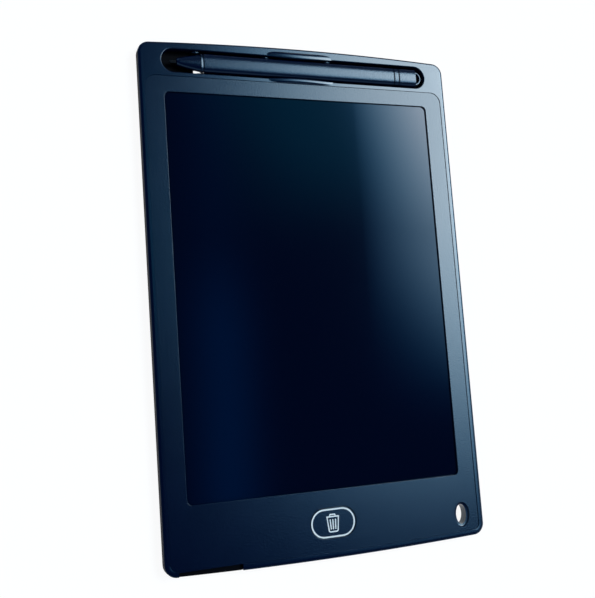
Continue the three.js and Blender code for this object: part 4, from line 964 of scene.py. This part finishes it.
class Look(Nodes):
    """One procedural material: a shader with object coordinates, mottled colour and roughness, and bump."""

    def __init__(self, name):
        self.material = bpy.data.materials.new(name)
        self.material.use_nodes = True
        super().__init__(self.material.node_tree)
        self.shader = self.add("ShaderNodeBsdfPrincipled")
        self.where = self.add("ShaderNodeTexCoord").outputs["Object"]
        self.x, self.y, self.z = self.split(self.where)

    def noise(self, scale, detail=2.0, stretch=None):
        node = self.add("ShaderNodeTexNoise")
        node.inputs["Scale"].default_value = scale
        node.inputs["Detail"].default_value = detail
        where = self.where
        if stretch:
            scaled = self.add("ShaderNodeMapping")
            scaled.inputs["Scale"].default_value = stretch
            self.link(where, scaled.inputs["Vector"])
            where = scaled.outputs["Vector"]
        self.link(where, node.inputs["Vector"])
        return node.outputs["Fac"]

    def between(self, value, low, high):
        """A value from 0 to 1 spread from low to high."""
        node = self.add("ShaderNodeMapRange")
        self.put(node.inputs["Value"], value)
        node.inputs["To Min"].default_value = low
        node.inputs["To Max"].default_value = high
        return node.outputs["Result"]

    def surface(self, colour, roughness, specular=0.5, tint=PLAIN, metallic=0.0, mottle=90, spread=0.15):
        """Colour is a plain triple, mottled here, or a socket."""
        cloud = self.noise(mottle, CLOUD_DETAIL)
        if isinstance(colour, tuple):
            darker, lighter = (tuple(k * c for c in colour) + (1,) for k in (1 - spread, 1 + spread))
            colour = self.mix(cloud, darker, lighter)
        self.put(self.shader.inputs["Base Color"], colour)
        smoothest, roughest = (k * roughness for k in ROUGHNESS_RANGE)
        self.put(self.shader.inputs["Roughness"], self.between(cloud, smoothest, roughest))
        self.shader.inputs["Specular IOR Level"].default_value = specular
        self.shader.inputs["Specular Tint"].default_value = tint + (1,)
        self.shader.inputs["Metallic"].default_value = metallic

    def finish(self, height, round_edges=0.0):
        """Height in metres becomes bump. round_edges softens the shading of edges over that many metres."""
        bump = self.add("ShaderNodeBump")
        bump.inputs["Strength"].default_value = 1.0
        bump.inputs["Distance"].default_value = 1.0
        self.link(height, bump.inputs["Height"])
        if round_edges:
            bevel = self.add("ShaderNodeBevel", samples=BEVEL_SAMPLES)
            bevel.inputs["Radius"].default_value = round_edges
            self.link(bevel.outputs["Normal"], bump.inputs["Normal"])
        self.link(bump.outputs["Normal"], self.shader.inputs["Normal"])
        self.link(self.shader.outputs[0], self.add("ShaderNodeOutputMaterial").inputs[0])
        return self.material


def plastic(name, base, roughness, specular, tint, grain, round_edges=0.0):
    """Moulded plastic. grain is (scale per metre, depth in metres) of its fine surface texture."""
    look = Look(name)
    look.surface(base, roughness, specular, tint)
    scale, depth = grain
    return look.finish(look.times(look.noise(scale), depth), round_edges)


def crystal_band(look):
    """How much of the liquid crystal's band shows: a bell across it, weaker up the page, and cloudy."""
    middle, width = BAND_PLACE
    offset = look.math("DIVIDE", look.math("SUBTRACT", look.x, middle), width)
    band = look.math("POWER", BAND_BELL, look.times(look.times(offset, offset), -1.0))
    band = look.times(band, look.math("MULTIPLY_ADD", look.smooth(look.y, *BAND_FADE_Y), *BAND_FADE))
    return look.times(band, look.between(look.noise(BAND_CLOUD, 1), *BAND_CLOUD_RANGE))


def film_lie(look):
    """The film's height: an even slope that levels out in the upper right corner and along the top."""
    start_x, gain = FILM_CORNER
    corner = look.math("POWER", look.beyond(look.x, start_x), FILM_CORNER_POWER)
    corner = look.times(corner, look.smooth(look.y, *FILM_CORNER_Y))
    lie = look.times(corner, -gain)
    start_x, start_y, gain = FILM_TOP
    top = look.math("POWER", look.beyond(look.y, start_y), 2)
    top = look.times(look.math("SUBTRACT", look.x, start_x), top)
    lie = look.math("MULTIPLY_ADD", top, -gain, lie)
    for place, slope in zip((look.x, look.y), FILM_SLOPE):
        lie = look.math("MULTIPLY_ADD", place, slope, lie)
    return lie


def screen_film():
    """Glossy film that lies a little tilted under its tape, with liquid crystal behind it."""
    look = Look("screen_film")
    colour = look.mix(crystal_band(look), FILM_COLOUR, BAND_COLOUR)
    look.surface(colour, FILM_ROUGHNESS, FILM_SPECULAR, FILM_TINT)
    scale, depth = FILM_GRAIN
    return look.finish(look.math("MULTIPLY_ADD", look.noise(scale), depth, film_lie(look)))


def metal(name, colour, roughness, stretch):
    """Brushed or drawn metal. stretch makes its fine scratches long."""
    look = Look(name)
    mottle, spread = METAL_MOTTLE
    look.surface(colour, roughness, metallic=1.0, mottle=mottle, spread=spread)
    scale, depth = METAL_GRAIN
    return look.finish(look.times(look.noise(scale, stretch=stretch), depth), METAL_EDGES)


def circuit_laminate():
    """Green solder mask with paler lines of buried copper."""
    look = Look("board_laminate")
    lines = look.add("ShaderNodeTexBrick")
    lines.inputs["Scale"].default_value, lines.inputs["Mortar Size"].default_value = BOARD_LINES
    look.link(look.where, lines.inputs["Vector"])
    look.surface(look.mix(lines.outputs["Fac"], *MASK_GREENS), 0.35)
    return look.finish(look.times(lines.outputs["Fac"], COPPER_HEIGHT))


def polyimide():
    """Amber film with copper tracks running along it."""
    look = Look("flex_film")
    waves = look.math("SINE", look.times(look.x, TRACK_TURNS))
    track = look.smooth(waves, *TRACK_EDGE)
    look.surface(look.mix(track, *AMBERS), 0.3)
    return look.finish(look.times(track, TRACK_HEIGHT))


def dress(node, material):
    """Gives a solid its material, smooth shading and sharp edges."""
    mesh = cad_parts[node].data
    mesh.materials.clear()
    mesh.materials.append(material)
    mesh.shade_smooth()
    mesh.set_sharp_from_angle(angle=math.radians(NODE_SHARP))


def dress_back(node, material):
    """Gives the faces that look down another material."""
    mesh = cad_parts[node].data
    mesh.materials.append(material)
    for face in mesh.polygons:
        if face.normal.z < LOOKS_DOWN:
            face.material_index = 1


# Plastics: colour, roughness, specular level, tint, grain, and the metres over which sharp edges look soft
case_look = plastic("case_plastic", NAVY, 0.165, 0.64, TINT, (1500, 0.000042))
rim_look = plastic("case_rim", NAVY, 0.15, 0.76, TINT, (1500, 0.000012))
rib_look = plastic("rib_plastic", NAVY, 0.18, 1.0, TINT, (2200, 0.000004))
# The case plastic almost without reflection, for walls and edges: painted shade, not a plastic of its own.
shaded_case_look = plastic("case_shaded", NAVY, 0.4, 0.02, TINT, (2200, 0.00001))
slider_look = plastic("slider_plastic", NAVY, 0.25, 0.4, TINT, (2200, 0.000012), 0.0002)
satin_look = plastic("satin_plastic", NAVY, 0.2, 0.66, SATIN_TINT, (1700, 0.00004))
# Black rear plastic, made darker still and almost without reflection: the moulding's black with painted shade
# on its sides, the tray and the trough's floor.
shaded_shell_look = plastic("rear_plastic_shaded", BLACK, 0.45, 0.03, PLAIN, (1800, 0.00002), 0.0002)
back_look = plastic("back_plastic", CHARCOAL, 0.4, 0.4, PLAIN, (1500, 0.00003), 0.0002)
black_look = plastic("black_plastic", BLACK, 0.45, 0.2, PLAIN, (2600, 0.00001), 0.0001)
nib_look = plastic("nib_plastic", BLACK, 0.3, 0.4, PLAIN, (3000, 0.000005))
foam_look = plastic("tape_foam", BLACK, 0.8, 0.1, PLAIN, (5000, 0.00003))
chip_look = plastic("chip_epoxy", EPOXY, 0.5, 0.3, PLAIN, (9000, 0.000006), 0.00005)
ceramic_look = plastic("capacitor_ceramic", CERAMIC, 0.4, 0.4, PLAIN, (9000, 0.000004), 0.00008)
cell_look = plastic("crystal_cell", CRYSTAL, 0.08, 0.5, PLAIN, (400, 0.0000005))
print_look = plastic("white_print", PRINT_WHITE, 0.5, 0.3, PLAIN, (3000, 0.000004))
brass_look = metal("contact_brass", BRASS, 0.24, (12, 1, 12))

# The looks of the solids. Those that aren't named here are black plastic.
LOOKS = {
    "front_frame": case_look,
    "rear_shell": shaded_shell_look,
    "erase_button": case_look,
    "battery_tray": shaded_shell_look,
    "lock_slider": slider_look,
    "screen_front_film": screen_film(),
    "screen_tape": foam_look,
    "screen_cell": cell_look,
    "screen_flex": polyimide(),
    "circuit_board": circuit_laminate(),
    "driver_chip": chip_look,
    "filter_capacitor": ceramic_look,
    "reservoir_capacitor": ceramic_look,
    "coin_cell": metal("cell_steel", STEEL, 0.27, (1, 12, 12)),
    "battery_contact_positive": brass_look,
    "battery_contact_negative": brass_look,
}
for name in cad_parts:
    dress(name, LOOKS.get(name, black_look))
# Only their faces that look down get the back plastic; the rest keep the painted shade.
for name in ("rear_shell", "battery_tray"):
    dress_back(name, back_look)

moulding = front_moulding(case_look, rim_look, shaded_case_look)
make_piece("front_moulding", moulding, case_look, "case", ("front_frame",))
for name, side in (("snap_lip_upper", 1), ("snap_lip_lower", -1)):
    make_piece(name, snap_lip(side), rim_look, "case", sharp=LIP_SHARP)
make_piece("snap_ribs", snap_ribs(), rib_look, "case")
make_piece("button_cap", button_cap(), case_look, "erase_button", ("erase_button",))
make_piece("button_outline_print", button_outline_print(), print_look, "erase_button")
make_piece("bin_print", bin_print(), print_look, "erase_button")
stylus = {
    "nose": nose_stations(),
    "barrel": barrel_stations(),
    "ring": rounded_run(*RING),
    "cap": cap_stations(),
}
for name, stations in stylus.items():
    skin_name = "stylus_" + name + "_skin"
    mesh = stylus_loft(skin_name, stations)
    make_piece(skin_name, mesh, satin_look, "stylus", ("stylus_" + name,))
make_piece("cap_loop", cap_loop(), satin_look, "stylus")
make_piece("nib", nib(), nib_look, "stylus", ("stylus_nib",))

make_world()
make_floor()
make_camera()
bpy.context.scene.view_settings.view_transform = "Standard"
